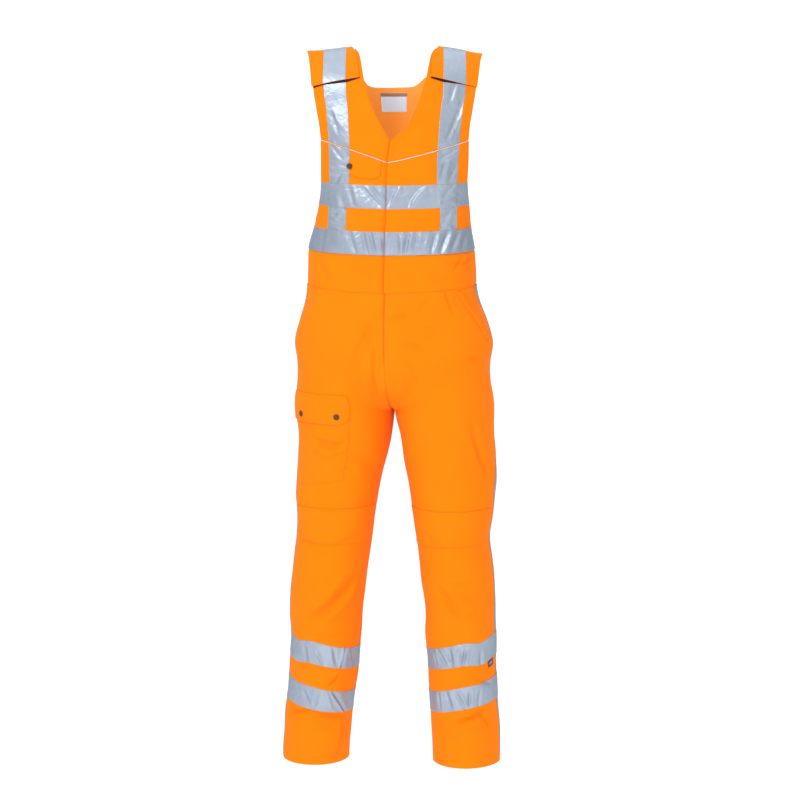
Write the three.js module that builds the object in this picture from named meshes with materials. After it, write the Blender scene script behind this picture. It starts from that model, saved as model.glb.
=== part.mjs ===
// Bib overalls, worn shape with nobody inside. Millimetres, +Z up, the front faces -Y.
// The origin is between the shoulders; _r is the wearer's right (-X), _l the wearer's left (+X).
import * as THREE from 'three'

// ---------------------------------------------------------------- driving sizes
const CLOTH = 1.6 // wall of the cloth
const TRIM = 1.0 // wall of the tapes
const PATCH = 1.3 // wall of pockets and flaps
const GAP = 0.35 // between a piece and the cloth it lies on
const HALF_SEAM = 0.18 // each piece stops this far from its seam
const STRAP_GAP = 1.1 // between shoulder strap and yoke
const TAPE = 49 // width of the reflective tape
const ROUND = 2.2 // squareness of the body sections
const DOME = 98 // height of the shoulder arch
const SHOULDER_TOP = 3 // arch height at the neck end of the strap
const SHOULDER_SLOPE = { r: 0.105, l: 0.148 } // fall of the arch towards the outer end
const SHOULDER_BACK = 15 // the arch is highest this far behind the middle
const NECK_END = 92 // where the strap meets the neck, from the middle
const FORK_TOP = -610 // the hips begin to part into legs
const RISE_TOP = -668 // the crotch curve begins
const CROTCH = -770
const HEM = -1541
const HEM_DROP = { r: 9, l: 3 } // each hem hangs this far below that
const SNAP_R = 6.5
const SNAP_H = 2.6

const FACE = CLOTH / 2
const ON_CLOTH = FACE + GAP + TRIM / 2 // trim directly on the cloth
const ON_TAPE = ON_CLOTH + TRIM + GAP // trim over another tape
const PATCH_ON = FACE + GAP + PATCH / 2 // pocket or flap directly on the cloth
const FLAP_ON = PATCH_ON + 0.65 + PATCH + GAP // flap over its pocket
const TAPE_ON_PATCH = PATCH_ON + PATCH / 2 + GAP + TRIM / 2
const STRAP_ON = CLOTH + STRAP_GAP

// Body sections: half width, depth to front and back, middle, turn about the vertical in degrees
const SECTIONS = [
  { z: -98, half: 230, front: 76, back: 78, mid: 1, turn: 8.5 },
  { z: -145, half: 198, front: 90, back: 88, mid: 1, turn: 8 },
  { z: -190, half: 181, front: 101, back: 96, mid: 2, turn: 7 },
  { z: -280, half: 169, front: 113, back: 104, mid: 4, turn: 4.5 },
  { z: -340, half: 167, front: 118, back: 108, mid: 2, turn: 3.9 },
  { z: -376, half: 167, front: 119, back: 111, mid: -3, turn: 3.2 },
  { z: -425, half: 177, front: 121, back: 115, mid: -5, turn: 1.8 },
  { z: -505, half: 181, front: 125, back: 124, mid: -5, turn: 0 },
  { z: -537, half: 186.5, front: 129, back: 130, mid: -3.5, turn: 0 },
  { z: -580, half: 200.5, front: 133, back: 137, mid: -1.5, turn: 0 },
  { z: -625, half: 212, front: 135, back: 141, mid: -1, turn: 0 },
  { z: -669, half: 207, front: 133, back: 142, mid: -1, turn: 0 },
  { z: -712, half: 205.5, front: 129, back: 138, mid: -0.5, turn: 0 },
  { z: -770, half: 211, front: 124, back: 132, mid: -0.3, turn: 0 },
  { z: -800, half: 211, front: 120, back: 128, mid: 0, turn: 0 },
]

// Leg sections: middle of the right and left leg from the centre line, half widths, depth and
// its middle, how far the sewn rings climb towards the outer side, and how far they sag before it
const LEGS = [
  { z: -610, midR: 104, midL: 104, halfR: 104, halfL: 104, deep: 128, midY: 4, climb: 0, sag: 0 },
  { z: -770, midR: 108.5, midL: 109.5, halfR: 105.5, halfL: 106, deep: 119, midY: 4, climb: 0, sag: 0 },
  { z: -824, midR: 107.8, midL: 115, halfR: 100.8, halfL: 101, deep: 112, midY: 3, climb: 0, sag: 0 },
  { z: -868, midR: 112.3, midL: 120.5, halfR: 96.3, halfL: 99, deep: 107, midY: 1, climb: 0, sag: 0 },
  { z: -913, midR: 119, midL: 126, halfR: 92, halfL: 95, deep: 102, midY: -2, climb: 0, sag: 0 },
  { z: -957, midR: 124.5, midL: 127.5, halfR: 88.5, halfL: 89.5, deep: 98, midY: -5, climb: 0, sag: 0 },
  { z: -1001, midR: 126.5, midL: 128.5, halfR: 84, halfL: 84, deep: 95, midY: -7, climb: 0, sag: 0 },
  { z: -1046, midR: 130, midL: 129.5, halfR: 80.5, halfL: 78, deep: 92, midY: -7, climb: 2, sag: 0 },
  { z: -1091, midR: 136.3, midL: 134, halfR: 80.3, halfL: 78.5, deep: 90, midY: -5, climb: 6, sag: 0 },
  { z: -1136, midR: 142.5, midL: 139, halfR: 80, halfL: 78.5, deep: 89, midY: -2, climb: 10, sag: 0 },
  { z: -1181, midR: 148, midL: 143, halfR: 80.5, halfL: 76.5, deep: 88, midY: 0, climb: 14, sag: 0 },
  { z: -1226, midR: 151.5, midL: 145, halfR: 78, halfL: 75.5, deep: 87, midY: 1, climb: 18, sag: 4 },
  { z: -1270, midR: 151.5, midL: 146, halfR: 75, halfL: 75.8, deep: 86, midY: 1, climb: 20, sag: 10.5 },
  { z: -1316, midR: 155, midL: 148, halfR: 74.5, halfL: 73.8, deep: 85, midY: 1, climb: 17, sag: 10.5 },
  { z: -1361, midR: 158, midL: 150.5, halfR: 74, halfL: 73.8, deep: 84, midY: 0, climb: 18, sag: 4 },
  { z: -1406, midR: 163, midL: 153, halfR: 72.5, halfL: 73.3, deep: 84, midY: 0, climb: 16, sag: 1.5 },
  { z: -1452, midR: 169, midL: 156.5, halfR: 73.5, halfL: 73.3, deep: 84, midY: -1, climb: 9, sag: 0 },
  { z: -1498, midR: 171, midL: 158.5, halfR: 73.5, halfL: 73.3, deep: 84, midY: -2, climb: 2, sag: 0 },
  { z: -1541, midR: 174.5, midL: 159, halfR: 71.5, halfL: 73.3, deep: 83, midY: -2, climb: 0, sag: 0 },
]
const SAG = { middle: 0.7, wide: 0.3 } // where the rings sag: 0 middle of the leg, 1 outer side

// Folds of the legs: a soft trough (depth > 0) or ridge (depth < 0) along a line on the cloth.
// around runs 0 at the inner front, 0.25 front, 0.5 outer side, 0.75 back.
const FOLDS = [
  { leg: 'r', around: 0.07, z: -1112, toAround: 0.18, toZ: -1180, wide: 20, depth: 5 },
  { leg: 'r', around: 0.18, z: -1180, toAround: 0.31, toZ: -1246, wide: 19, depth: 6 },
  { leg: 'r', around: 0.1, z: -1180, toAround: 0.24, toZ: -1252, wide: 20, depth: -3 },
  { leg: 'r', around: 0.14, z: -672, toAround: 0.1, toZ: -752, wide: 17, depth: 5 },
  { leg: 'r', around: 0.4, z: -1440, toAround: 0.33, toZ: -1452, wide: 15, depth: 4 },
  { leg: 'r', around: 0.06, z: -1470, toAround: 0.13, toZ: -1520, wide: 16, depth: 4 },
  { leg: 'l', around: 0.13, z: -1160, toAround: 0.27, toZ: -1240, wide: 18, depth: 4 },
  { leg: 'l', around: 0.1, z: -1195, toAround: 0.29, toZ: -1252, wide: 16, depth: 3 },
  { leg: 'l', around: 0.39, z: -850, toAround: 0.43, toZ: -922, wide: 17, depth: 5 },
  { leg: 'l', around: 0.25, z: -1480, toAround: 0.37, toZ: -1458, wide: 14, depth: 4 },
  { leg: 'l', around: 0.11, z: -690, toAround: 0.08, toZ: -745, wide: 15, depth: 3 },
  { leg: 'r', around: 0.6, z: -1010, toAround: 0.86, toZ: -1030, wide: 18, depth: 6 },
  { leg: 'r', around: 0.66, z: -1060, toAround: 0.92, toZ: -1050, wide: 17, depth: 5 },
  { leg: 'l', around: 0.58, z: -1022, toAround: 0.83, toZ: -1012, wide: 18, depth: 6 },
  { leg: 'l', around: 0.68, z: -1052, toAround: 0.9, toZ: -1068, wide: 17, depth: 5 },
  { leg: 'r', around: 0.86, z: -800, toAround: 0.68, toZ: -850, wide: 22, depth: 5 },
  { leg: 'l', around: 0.88, z: -795, toAround: 0.7, toZ: -838, wide: 22, depth: 5 },
  { leg: 'r', around: 0.62, z: -1215, toAround: 0.82, toZ: -1250, wide: 18, depth: 4 },
  { leg: 'l', around: 0.64, z: -1240, toAround: 0.84, toZ: -1212, wide: 18, depth: 4 },
]
const FOLD_GIRTH = 560 // around = 1 is this long where folds are measured

// Free edges and tape edges of the bib fronts, from the middle of the section, per height
const FRONT_EDGE = [
  { v: 0, out: 186 }, { v: -36, out: 181 }, { v: -60, out: 177 }, { v: -84, out: 172 },
  { v: -105, out: 168 }, { v: -128, out: 164 }, { v: -150, out: 160.5 }, { v: -190, out: 157.5 },
  { v: -235, out: 156.5 }, { v: -279, out: 155.5 }, { v: -302, out: 157 }, { v: -326, out: 160.5 },
  { v: -350, out: 164 }, { v: -362, out: 166 },
]
const BRACE = [ // inner edge of the upright tape on the front, and its width across
  { v: 0, r: 103, l: 103, wideR: 47, wideL: 47 }, { v: -76, r: 103, l: 103, wideR: 47, wideL: 47 },
  { v: -130, r: 98.5, l: 98.5, wideR: 46, wideL: 46 }, { v: -190, r: 93.5, l: 93.5, wideR: 45, wideL: 45 },
  { v: -240, r: 92, l: 92, wideR: 43, wideL: 43 }, { v: -290, r: 93, l: 94, wideR: 41.5, wideL: 40 },
  { v: -327, r: 96, l: 101, wideR: 40, wideL: 34 }, { v: -376, r: 90, l: 108, wideR: 41, wideL: 33 },
  { v: -425, r: 90, l: 108, wideR: 42, wideL: 36 },
]
const CENTRE = [ // centre-front line
  { v: -190, in: -7 }, { v: -234, in: -11 }, { v: -282, in: -11 }, { v: -330, in: -9 },
  { v: -376, in: -4 }, { v: -425, in: 0 }, { v: -505, in: 2.5 },
]

// Rows of the two fronts: height at the armhole edge and at the inner edge; r and l are the
// edges of the neck opening on that row, none where the row ends at the centre front
const BIB_ROWS = [
  { out: -424, in: -428 }, { out: -400, in: -404 }, { out: -375.5, in: -379.5 },
  { out: -350, in: -355 }, { out: -326.5, in: -330.5 }, { out: -302, in: -306 },
  { out: -278.5, in: -282 }, { out: -250, in: -263 }, { out: -220, in: -248 },
  { out: -190, in: -234 },
]
const YOKE_ROWS = [
  { out: -190, in: -234 }, { out: -171, in: -212 }, { out: -152, in: -190, r: -7.2, l: -6 },
  { out: -130, in: -156, r: -28, l: 28 }, { out: -108, in: -121, r: -46, l: 46 },
  { out: -98, in: -100, r: -54.5, l: 54.5 }, { out: -86, in: -86, r: -60.5, l: 60.5 },
  { out: -72, in: -72, r: -66, l: 67.5 }, { out: -58, in: -58, r: -69.5, l: 71.5 },
  { out: -44, in: -44, r: -72.5, l: 75 }, { out: -30, in: -30, r: -76.5, l: 79 },
  { out: -16, in: -16, r: -83, l: 86 },
]
const PIPING_BEND = { r: 1.5, l: 1.15 } // how the piped seam sags from armhole to centre
const CHEST_TAPE = [4, 6] // rows of the fronts between which the tapes lie
const WAIST_TAPE = [0, 2]

// Shoulder strap, measured over the arch: negative on the front, positive on the back
const STRAP_ROWS = [
  { out: -84, in: -72 }, { out: -72, in: -64 }, { out: -58, in: -56 }, { out: -44, in: -44 },
  { out: -30, in: -30 }, { out: -16, in: -16 }, { out: 0, in: 0 }, { out: 16, in: 16 },
  { out: 31, in: 31 }, { out: 46, in: 46 }, { out: 60, in: 60 }, { out: 73, in: 73 },
  { out: 86, in: 86 },
]
const STRAP = [
  { v: -84, r: 72.5, l: 75.5, out: 173 }, { v: -56, r: 77, l: 77.5, out: 178 },
  { v: -36, r: 81.5, l: 81.5, out: 181 }, { v: 0, r: 91, l: 93.5, out: 186 },
  { v: 30, r: 86, l: 87, out: 178 }, { v: 60, r: 75, l: 75, out: 162 }, { v: 86, r: 66, l: 66, out: 147 },
]
const STRAP_TAPE = [
  { v: -84, in: 103 }, { v: 0, in: 103 }, { v: 40, in: 100 }, { v: 86, in: 92 },
]

// Back bodice: rear armhole edge and the inner edge of the upright tape, per height
const BACK = [
  { v: -75, out: 150, in: 94 }, { v: -98, out: 140, in: 88 }, { v: -125, out: 134, in: 83 },
  { v: -150, out: 131, in: 80 }, { v: -190, out: 129, in: 77 }, { v: -235, out: 129, in: 75 },
  { v: -280, out: 131, in: 74 }, { v: -327, out: 136, in: 75 }, { v: -345, out: 142, in: 76 },
  { v: -358, out: 151, in: 76 }, { v: -366, out: 160, in: 77 },
]
const BACK_ROWS = [-424, -400, -375.5, -360, -345, -326.5, -302, -278.5, -246, -214, -182, -150, -122]
const NECKLINE = [ // top edge of the back between the straps, to the right and to the left
  { x: 0, r: -90.5, l: -90.5 }, { x: 38, r: -90, l: -89 }, { x: 50, r: -89, l: -85 },
  { x: 60, r: -86, l: -79 }, { x: 68, r: -79, l: -75 }, { x: 76, r: -75, l: -75 },
  { x: 160, r: -75, l: -75 },
]
const SIDE = Math.PI / 2 - 0.0012 // side seam, as an angle round the section

// ---------------------------------------------------------------- helpers
const mix = (a, b, t) => a + (b - a) * t
const clamp = (t, lo, hi) => Math.min(hi, Math.max(lo, t))
const bend = (t, power) => Math.sign(t) * Math.abs(t) ** power
const range = (n) => Array.from({ length: n }, (_, i) => i)

// Smooth value of one column of a table at the place `at` of its `by` column
function read(table, by, column, at) {
  const rows = table[0][by] < table[table.length - 1][by] ? table : [...table].reverse()
  const n = rows.length
  if (at <= rows[0][by]) return rows[0][column]
  if (at >= rows[n - 1][by]) return rows[n - 1][column]
  let k = 0
  while (rows[k + 1][by] < at) k++
  const slope = (i) => {
    const a = rows[Math.max(i - 1, 0)]
    const b = rows[Math.min(i + 1, n - 1)]
    return (b[column] - a[column]) / (b[by] - a[by])
  }
  const span = rows[k + 1][by] - rows[k][by]
  const t = (at - rows[k][by]) / span
  const t2 = t * t
  const t3 = t2 * t
  return (2 * t3 - 3 * t2 + 1) * rows[k][column] + (t3 - 2 * t2 + t) * span * slope(k)
    + (3 * t2 - 2 * t3) * rows[k + 1][column] + (t3 - t2) * span * slope(k + 1)
}
const section = (z) => {
  const get = (column) => read(SECTIONS, 'z', column, z)
  return { half: get('half'), front: get('front'), back: get('back'), mid: get('mid'), turn: get('turn') }
}

// Turns a point of the upper body about the vertical through the middle of its section
function turned(x, y, z, s) {
  const a = THREE.MathUtils.degToRad(s.turn)
  return new THREE.Vector3(s.mid + x * Math.cos(a) - y * Math.sin(a), x * Math.sin(a) + y * Math.cos(a), z)
}

// Point of the upper body. face -1 front, +1 back; angle 0 at the middle, +-90 degrees at the
// sides; v is the height, and above -DOME the place on the arch over the shoulder.
function torso(face, angle, v) {
  const s = section(Math.min(v, -DOME))
  const x = s.half * bend(Math.sin(angle), 2 / ROUND)
  const across = bend(Math.cos(angle), 2 / ROUND)
  if (v <= -DOME) return turned(x, face * (face < 0 ? s.front : s.back) * across, v, s)
  const tip = (v / DOME) * (Math.PI / 2) * -face
  const top = SHOULDER_TOP - (x < 0 ? SHOULDER_SLOPE.r : SHOULDER_SLOPE.l) * (Math.abs(x) - NECK_END)
  const deep = (Math.sin(tip) < 0 ? s.front : s.back) * across
  const y = SHOULDER_BACK * Math.cos(tip) * across + deep * Math.sin(tip)
  return turned(x, y, top - (top + DOME) * (1 - Math.cos(tip)), s)
}
// Angle round the section of a place x from its middle
const angleAt = (x, v) => {
  const r = clamp(Math.abs(x) / section(Math.min(v, -DOME)).half, 0, 1) ** (ROUND / 2)
  return Math.sign(x) * Math.min(Math.asin(r), SIDE)
}

// Depth of the folds of a leg at a place on it
function foldDepth(leg, around, z) {
  let depth = 0
  for (const f of FOLDS) {
    if (f.leg !== leg) continue
    const ax = f.around * FOLD_GIRTH
    const dx = f.toAround * FOLD_GIRTH - ax
    const dz = f.toZ - f.z
    const px = around * FOLD_GIRTH - ax
    const pz = z - f.z
    const t = clamp((px * dx + pz * dz) / (dx * dx + dz * dz), 0, 1)
    const off = Math.hypot(px - dx * t, pz - dz * t)
    depth += f.depth * Math.exp(-((off / f.wide) ** 2))
  }
  return depth
}

// Point of one half of the trousers. around: 0 centre front or inner leg, 0.5 side, 1 back.
// Above FORK_TOP the ring is half of the hips; by CROTCH it has become the whole leg. Beside the
// centre seams the change is a quarter circle, the crotch curve; elsewhere it is gradual.
function trouser(leg, around, v) {
  const side = leg === 'r' ? -1 : 1
  const key = leg === 'r' ? 'R' : 'L'
  const turn = around * Math.PI
  const low = (column) => (v < -900 ? read(LEGS, 'z', column, Math.max(v, HEM)) : 0)
  const outer = -Math.cos(2 * turn)
  const sag = low('sag') * Math.exp(-(((outer - SAG.middle) / SAG.wide) ** 2))
  const hang = HEM_DROP[leg] * clamp((-1422 - v) / 119, 0, 1)
  const z = v + low('climb') * outer - sag - hang
  const drop = clamp((RISE_TOP - v) / (RISE_TOP - CROTCH), 0, 1)
  const fork = clamp((FORK_TOP - v) / (FORK_TOP - CROTCH), 0, 1)
  const curve = 1 - Math.sqrt(1 - drop * drop)
  const whole = mix(fork ** 3.2 * (3 - 2 * fork ** 1.6), curve, Math.cos(turn) ** 16)
  const s = section(Math.max(v, -800))
  const deep = Math.cos(turn) > 0 ? s.front : s.back
  const hipX = side * s.half * bend(Math.sin(turn), 2 / ROUND) + s.mid * Math.abs(Math.sin(turn))
  const hipY = -deep * bend(Math.cos(turn), 2 / ROUND)
  const zl = clamp(z, HEM, FORK_TOP)
  const get = (column) => read(LEGS, 'z', column, zl)
  const legX = side * (get('mid' + key) - get('half' + key) * Math.cos(2 * turn))
  const legY = get('midY') - get('deep') * Math.sin(2 * turn)
  const keep = FACE + HALF_SEAM + 0.1
  let x = mix(hipX, legX, whole)
  const free = keep * (1 - (1 - whole) ** 2)
  if (side * x < free) x = side * free
  const y = mix(hipY, legY, whole)
  const cx = side * get('mid' + key) * Math.max(whole, 0.25)
  const r = Math.hypot(x - cx, y)
  const push = foldDepth(leg, around, v) / Math.max(r, 1)
  return new THREE.Vector3(x - (x - cx) * push, y - y * push, z)
}

// A net of points and outward normals. at(i, j) gives the two coordinates of a node, and
// point(a, b) the place on the surface.
function net(rows, cols, at, point, outward, steps = [0.004, 1.5]) {
  const P = []
  const N = []
  for (const i of range(rows)) {
    P.push([])
    N.push([])
    for (const j of range(cols)) {
      const [a, b] = at(i, j)
      const da = point(a + steps[0], b).sub(point(a - steps[0], b))
      const db = point(a, b + steps[1]).sub(point(a, b - steps[1]))
      P[i].push(point(a, b))
      N[i].push(da.cross(db).multiplyScalar(outward).normalize())
    }
  }
  return { P, N, rows, cols }
}

// Place on a net between its nodes
function between(g, i, j) {
  const i0 = clamp(Math.floor(i), 0, g.rows - 2)
  const j0 = clamp(Math.floor(j), 0, g.cols - 2)
  const blend = (grid) => {
    const near = grid[i0][j0].clone().lerp(grid[i0][j0 + 1], j - j0)
    const far = grid[i0 + 1][j0].clone().lerp(grid[i0 + 1][j0 + 1], j - j0)
    return near.lerp(far, i - i0)
  }
  return { p: blend(g.P), n: blend(g.N).normalize() }
}
// Part of a net: at(i, j) gives the row and column, whole or not, of each new node
function part(g, rows, cols, at) {
  const P = []
  const N = []
  for (const i of range(rows)) {
    const line = range(cols).map((j) => between(g, ...at(i, j)))
    P.push(line.map((e) => e.p))
    N.push(line.map((e) => e.n))
  }
  return { P, N, rows, cols }
}
const block = (g, rowList, colList) =>
  part(g, rowList.length, colList.length, (i, j) => [rowList[i], colList[j]])

const group = new THREE.Group()
group.name = 'bib_overalls'
const cloth = new THREE.MeshStandardMaterial({ color: 0xff7d12, roughness: 0.85, metalness: 0 })
const tape = new THREE.MeshStandardMaterial({ color: 0xb2bdca, roughness: 0.45, metalness: 0.1 })
const cord = new THREE.MeshStandardMaterial({ color: 0xf6d9cc, roughness: 0.7, metalness: 0 })
const brass = new THREE.MeshStandardMaterial({ color: 0x5f4c38, roughness: 0.4, metalness: 0.9 })
const label = new THREE.MeshStandardMaterial({ color: 0xdad7df, roughness: 0.6, metalness: 0 })
const maroon = new THREE.MeshStandardMaterial({ color: 0x6a343c, roughness: 0.7, metalness: 0 })

function addMesh(name, positions, index, material) {
  let volume = 0
  const v = (k) => new THREE.Vector3().fromArray(positions, 3 * k)
  for (let k = 0; k < index.length; k += 3) {
    volume += v(index[k]).dot(v(index[k + 1]).cross(v(index[k + 2])))
  }
  if (volume < 0) for (let k = 0; k < index.length; k += 3) index.splice(k, 2, index[k + 1], index[k])
  const geometry = new THREE.BufferGeometry()
  geometry.setAttribute('position', new THREE.Float32BufferAttribute(positions, 3))
  geometry.setIndex(index)
  geometry.computeVertexNormals()
  const mesh = new THREE.Mesh(geometry, material)
  mesh.name = name
  group.add(mesh)
}

// Solid wall on a net. lift is the distance of its middle from the net, a number or a
// function of the node; ring closes it round its columns.
function wall(name, g, material, { lift = 0, thick = CLOTH, ring = false } = {}) {
  const positions = []
  const index = []
  const { rows, cols } = g
  for (const face of [0.5, -0.5]) {
    for (const i of range(rows)) {
      for (const j of range(cols)) {
        const up = (typeof lift === 'function' ? lift(i, j) : lift) + face * thick
        positions.push(...g.P[i][j].clone().addScaledVector(g.N[i][j], up).toArray())
      }
    }
  }
  const id = (i, j, face) => face * rows * cols + i * cols + (j % cols)
  const quad = (a, b, c, d) => index.push(a, b, c, a, c, d)
  const last = ring ? cols : cols - 1
  for (const i of range(rows - 1)) {
    for (const j of range(last)) {
      quad(id(i, j, 0), id(i, j + 1, 0), id(i + 1, j + 1, 0), id(i + 1, j, 0))
      quad(id(i, j, 1), id(i + 1, j, 1), id(i + 1, j + 1, 1), id(i, j + 1, 1))
    }
  }
  for (const j of range(last)) {
    quad(id(0, j, 0), id(0, j, 1), id(0, j + 1, 1), id(0, j + 1, 0))
    quad(id(rows - 1, j, 0), id(rows - 1, j + 1, 0), id(rows - 1, j + 1, 1), id(rows - 1, j, 1))
  }
  if (!ring) {
    for (const i of range(rows - 1)) {
      quad(id(i, 0, 0), id(i + 1, 0, 0), id(i + 1, 0, 1), id(i, 0, 1))
      quad(id(i, cols - 1, 0), id(i, cols - 1, 1), id(i + 1, cols - 1, 1), id(i + 1, cols - 1, 0))
    }
  }
  addMesh(name, positions, index, material)
}

// Cap of a press stud standing on a place of a net
function snap(name, g, i, j, lift) {
  const outline = [[0, 0], [1, 0], [1, 0.5], [0.86, 0.86], [0.5, 1], [0, 1]]
  const cap = new THREE.LatheGeometry(outline.map(([r, h]) => new THREE.Vector2(r * SNAP_R, h * SNAP_H)), 20)
  const { p, n } = between(g, i, j)
  cap.applyQuaternion(new THREE.Quaternion().setFromUnitVectors(new THREE.Vector3(0, 1, 0), n))
  cap.translate(...p.addScaledVector(n, lift).toArray())
  const mesh = new THREE.Mesh(cap, brass)
  mesh.name = name
  group.add(mesh)
}

// ---------------------------------------------------------------- fronts of the bib
const COLUMNS = [3, 2, 5] // cells from armhole edge to tape, on the tape, and on to the inner edge
const TAPE_OUT = COLUMNS[0]
const TAPE_IN = COLUMNS[0] + COLUMNS[1]
const LAST = TAPE_IN + COLUMNS[2]
const columnSpots = (anchors) => {
  const spots = [anchors[0]]
  COLUMNS.forEach((cells, k) => {
    for (let c = 1; c <= cells; c++) spots.push(mix(anchors[k], anchors[k + 1], c / cells))
  })
  return spots
}

// Net of one front from a table of rows; shift moves its first and last row off their seams
function frontNet(leg, table, shift) {
  const side = leg === 'r' ? -1 : 1
  const power = PIPING_BEND[leg]
  const lines = table.map((row, i) => {
    const off = i === 0 ? shift[0] : i === table.length - 1 ? shift[1] : 0
    const sag = row.out - row.in > 10 ? power : 1
    const out = row.out > -370 ? read(FRONT_EDGE, 'v', 'out', row.out) : 1e3
    const braceIn = read(BRACE, 'v', leg, mix(row.out, row.in, 0.3))
    const wide = read(BRACE, 'v', leg === 'r' ? 'wideR' : 'wideL', row.out)
    const inner = row[leg] ?? read(CENTRE, 'v', 'in', row.in) + side * HALF_SEAM
    const anchors = [
      angleAt(side * out, row.out), angleAt(side * (braceIn + wide), row.out),
      angleAt(side * braceIn, mix(row.out, row.in, 0.3)), angleAt(inner, row.in),
    ]
    const angles = columnSpots(anchors)
    return angles.map((angle) => {
      const t = (angle - anchors[0]) / (anchors[3] - anchors[0])
      return [angle, mix(row.out, row.in, t ** sag) + off]
    })
  })
  return net(table.length, LAST + 1, (i, j) => lines[i][j], (a, b) => torso(-1, a, b), 1)
}

const bibs = {}
for (const leg of ['r', 'l']) {
  const bib = frontNet(leg, BIB_ROWS, [HALF_SEAM, -HALF_SEAM])
  const yoke = frontNet(leg, YOKE_ROWS, [HALF_SEAM, 0])
  bibs[leg] = { bib, yoke }
  wall(`bib_front_${leg}`, bib, cloth)
  wall(`front_yoke_${leg}`, yoke, cloth)

  // corded piping over the yoke seam: half on the bib, half on the yoke
  const cols = range(LAST + 1)
  const top = BIB_ROWS.length - 1
  const low = block(bib, [top - 0.045, top], cols)
  const high = block(yoke, [0, 0.055], cols)
  const seam = { P: [low.P[0], high.P[1]], N: [low.N[0], high.N[1]], rows: 2, cols: LAST + 1 }
  wall(`piping_${leg}`, seam, cord, { lift: FACE + GAP + 0.8, thick: 1.6 })

  // upright tape: on the yoke, then on the bib below the piping
  const tapeCols = range(COLUMNS[1] + 1).map((c) => TAPE_OUT + c)
  const yokeRows = [0.12, 1, 2, 3, 4, 5, 6, 7]
  const yokeTape = part(yoke, yokeRows.length, tapeCols.length, (i, j) => [
    i === yokeRows.length - 1 ? 6.18 + 0.2 * j : yokeRows[i], tapeCols[j]])
  wall(`brace_tape_yoke_${leg}`, yokeTape, tape, { lift: ON_CLOTH, thick: TRIM })
  const bibRows = [2.014, 3, 4, 5, 6, 7, 8, 8.9]
  const overFlap = (i) => (leg === 'r' && bibRows[i] > 6.5 ? TAPE_ON_PATCH : ON_CLOTH)
  wall(`brace_tape_bib_${leg}`, block(bib, bibRows, tapeCols), tape, { lift: overFlap, thick: TRIM })

  // chest tape crosses over the upright tape; waist tape lies on the cloth
  const chest = block(bib, range(CHEST_TAPE[1] - CHEST_TAPE[0] + 1).map((i) => CHEST_TAPE[0] + i), cols)
  const crossing = (i, j) => (j >= TAPE_OUT && j <= TAPE_IN ? ON_TAPE : ON_CLOTH)
  wall(`chest_tape_${leg}`, chest, tape, { lift: crossing, thick: TRIM })
  wall(`waist_tape_${leg}`, block(bib, range(WAIST_TAPE[1] + 1), cols), tape, { lift: ON_CLOTH, thick: TRIM })
}

// chest pocket flap under the piping, with its clipped corner, and its press stud
const FLAP_EDGE = [ // lower edge as a row of the bib net, per column
  { column: TAPE_OUT, row: 7.0 }, { column: TAPE_IN, row: 6.9 }, { column: TAPE_IN + 1, row: 6.7 },
  { column: TAPE_IN + 2.5, row: 6.65 }, { column: LAST - 1.3, row: 6.75 }, { column: LAST - 0.75, row: 7.25 },
]
const flapCols = [TAPE_OUT, TAPE_OUT + 1, TAPE_IN, TAPE_IN + 1, TAPE_IN + 2, TAPE_IN + 3, LAST - 1.3, LAST - 0.75]
const chestFlap = part(bibs.r.bib, 4, flapCols.length, (i, j) => {
  const low = read(FLAP_EDGE, 'column', 'row', flapCols[j])
  return [[low, Math.max(7.3, low + 0.15), 8, 8.9][i], flapCols[j]]
})
wall('chest_pocket_flap', chestFlap, cloth, { lift: PATCH_ON, thick: PATCH })
snap('snap_chest', bibs.r.bib, 7.55, TAPE_IN + 0.04, TAPE_ON_PATCH + TRIM / 2 + GAP)

// ---------------------------------------------------------------- shoulder straps
for (const leg of ['r', 'l']) {
  const side = leg === 'r' ? -1 : 1
  const lines = STRAP_ROWS.map((row) => {
    const at = (row.out + row.in) / 2
    const inTape = read(STRAP_TAPE, 'v', 'in', at)
    const angle = (x, v) => angleAt(side * x, -DOME) * (v === null ? 0 : 1)
    const anchors = [
      angle(read(STRAP, 'v', 'out', row.out)), angle(inTape + 47), angle(inTape),
      angle(read(STRAP, 'v', leg, row.in)),
    ]
    const spots = [
      anchors[0], mix(anchors[0], anchors[1], 0.5), anchors[1], mix(anchors[1], anchors[2], 0.5),
      anchors[2], anchors[3],
    ]
    return spots.map((a) => [a, mix(row.out, row.in, (a - anchors[0]) / (anchors[3] - anchors[0]))])
  })
  const arch = (a, b) => (b <= 0 ? torso(-1, a, b) : torso(1, a, -b))
  const strap = net(STRAP_ROWS.length, 6, (i, j) => lines[i][j], arch, 1)
  wall(`shoulder_strap_${leg}`, strap, cloth, { lift: STRAP_ON })
  wall(`strap_tape_${leg}`, block(strap, range(STRAP_ROWS.length), [2, 3, 4]), tape,
    { lift: STRAP_ON + ON_CLOTH, thick: TRIM })
}

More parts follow.
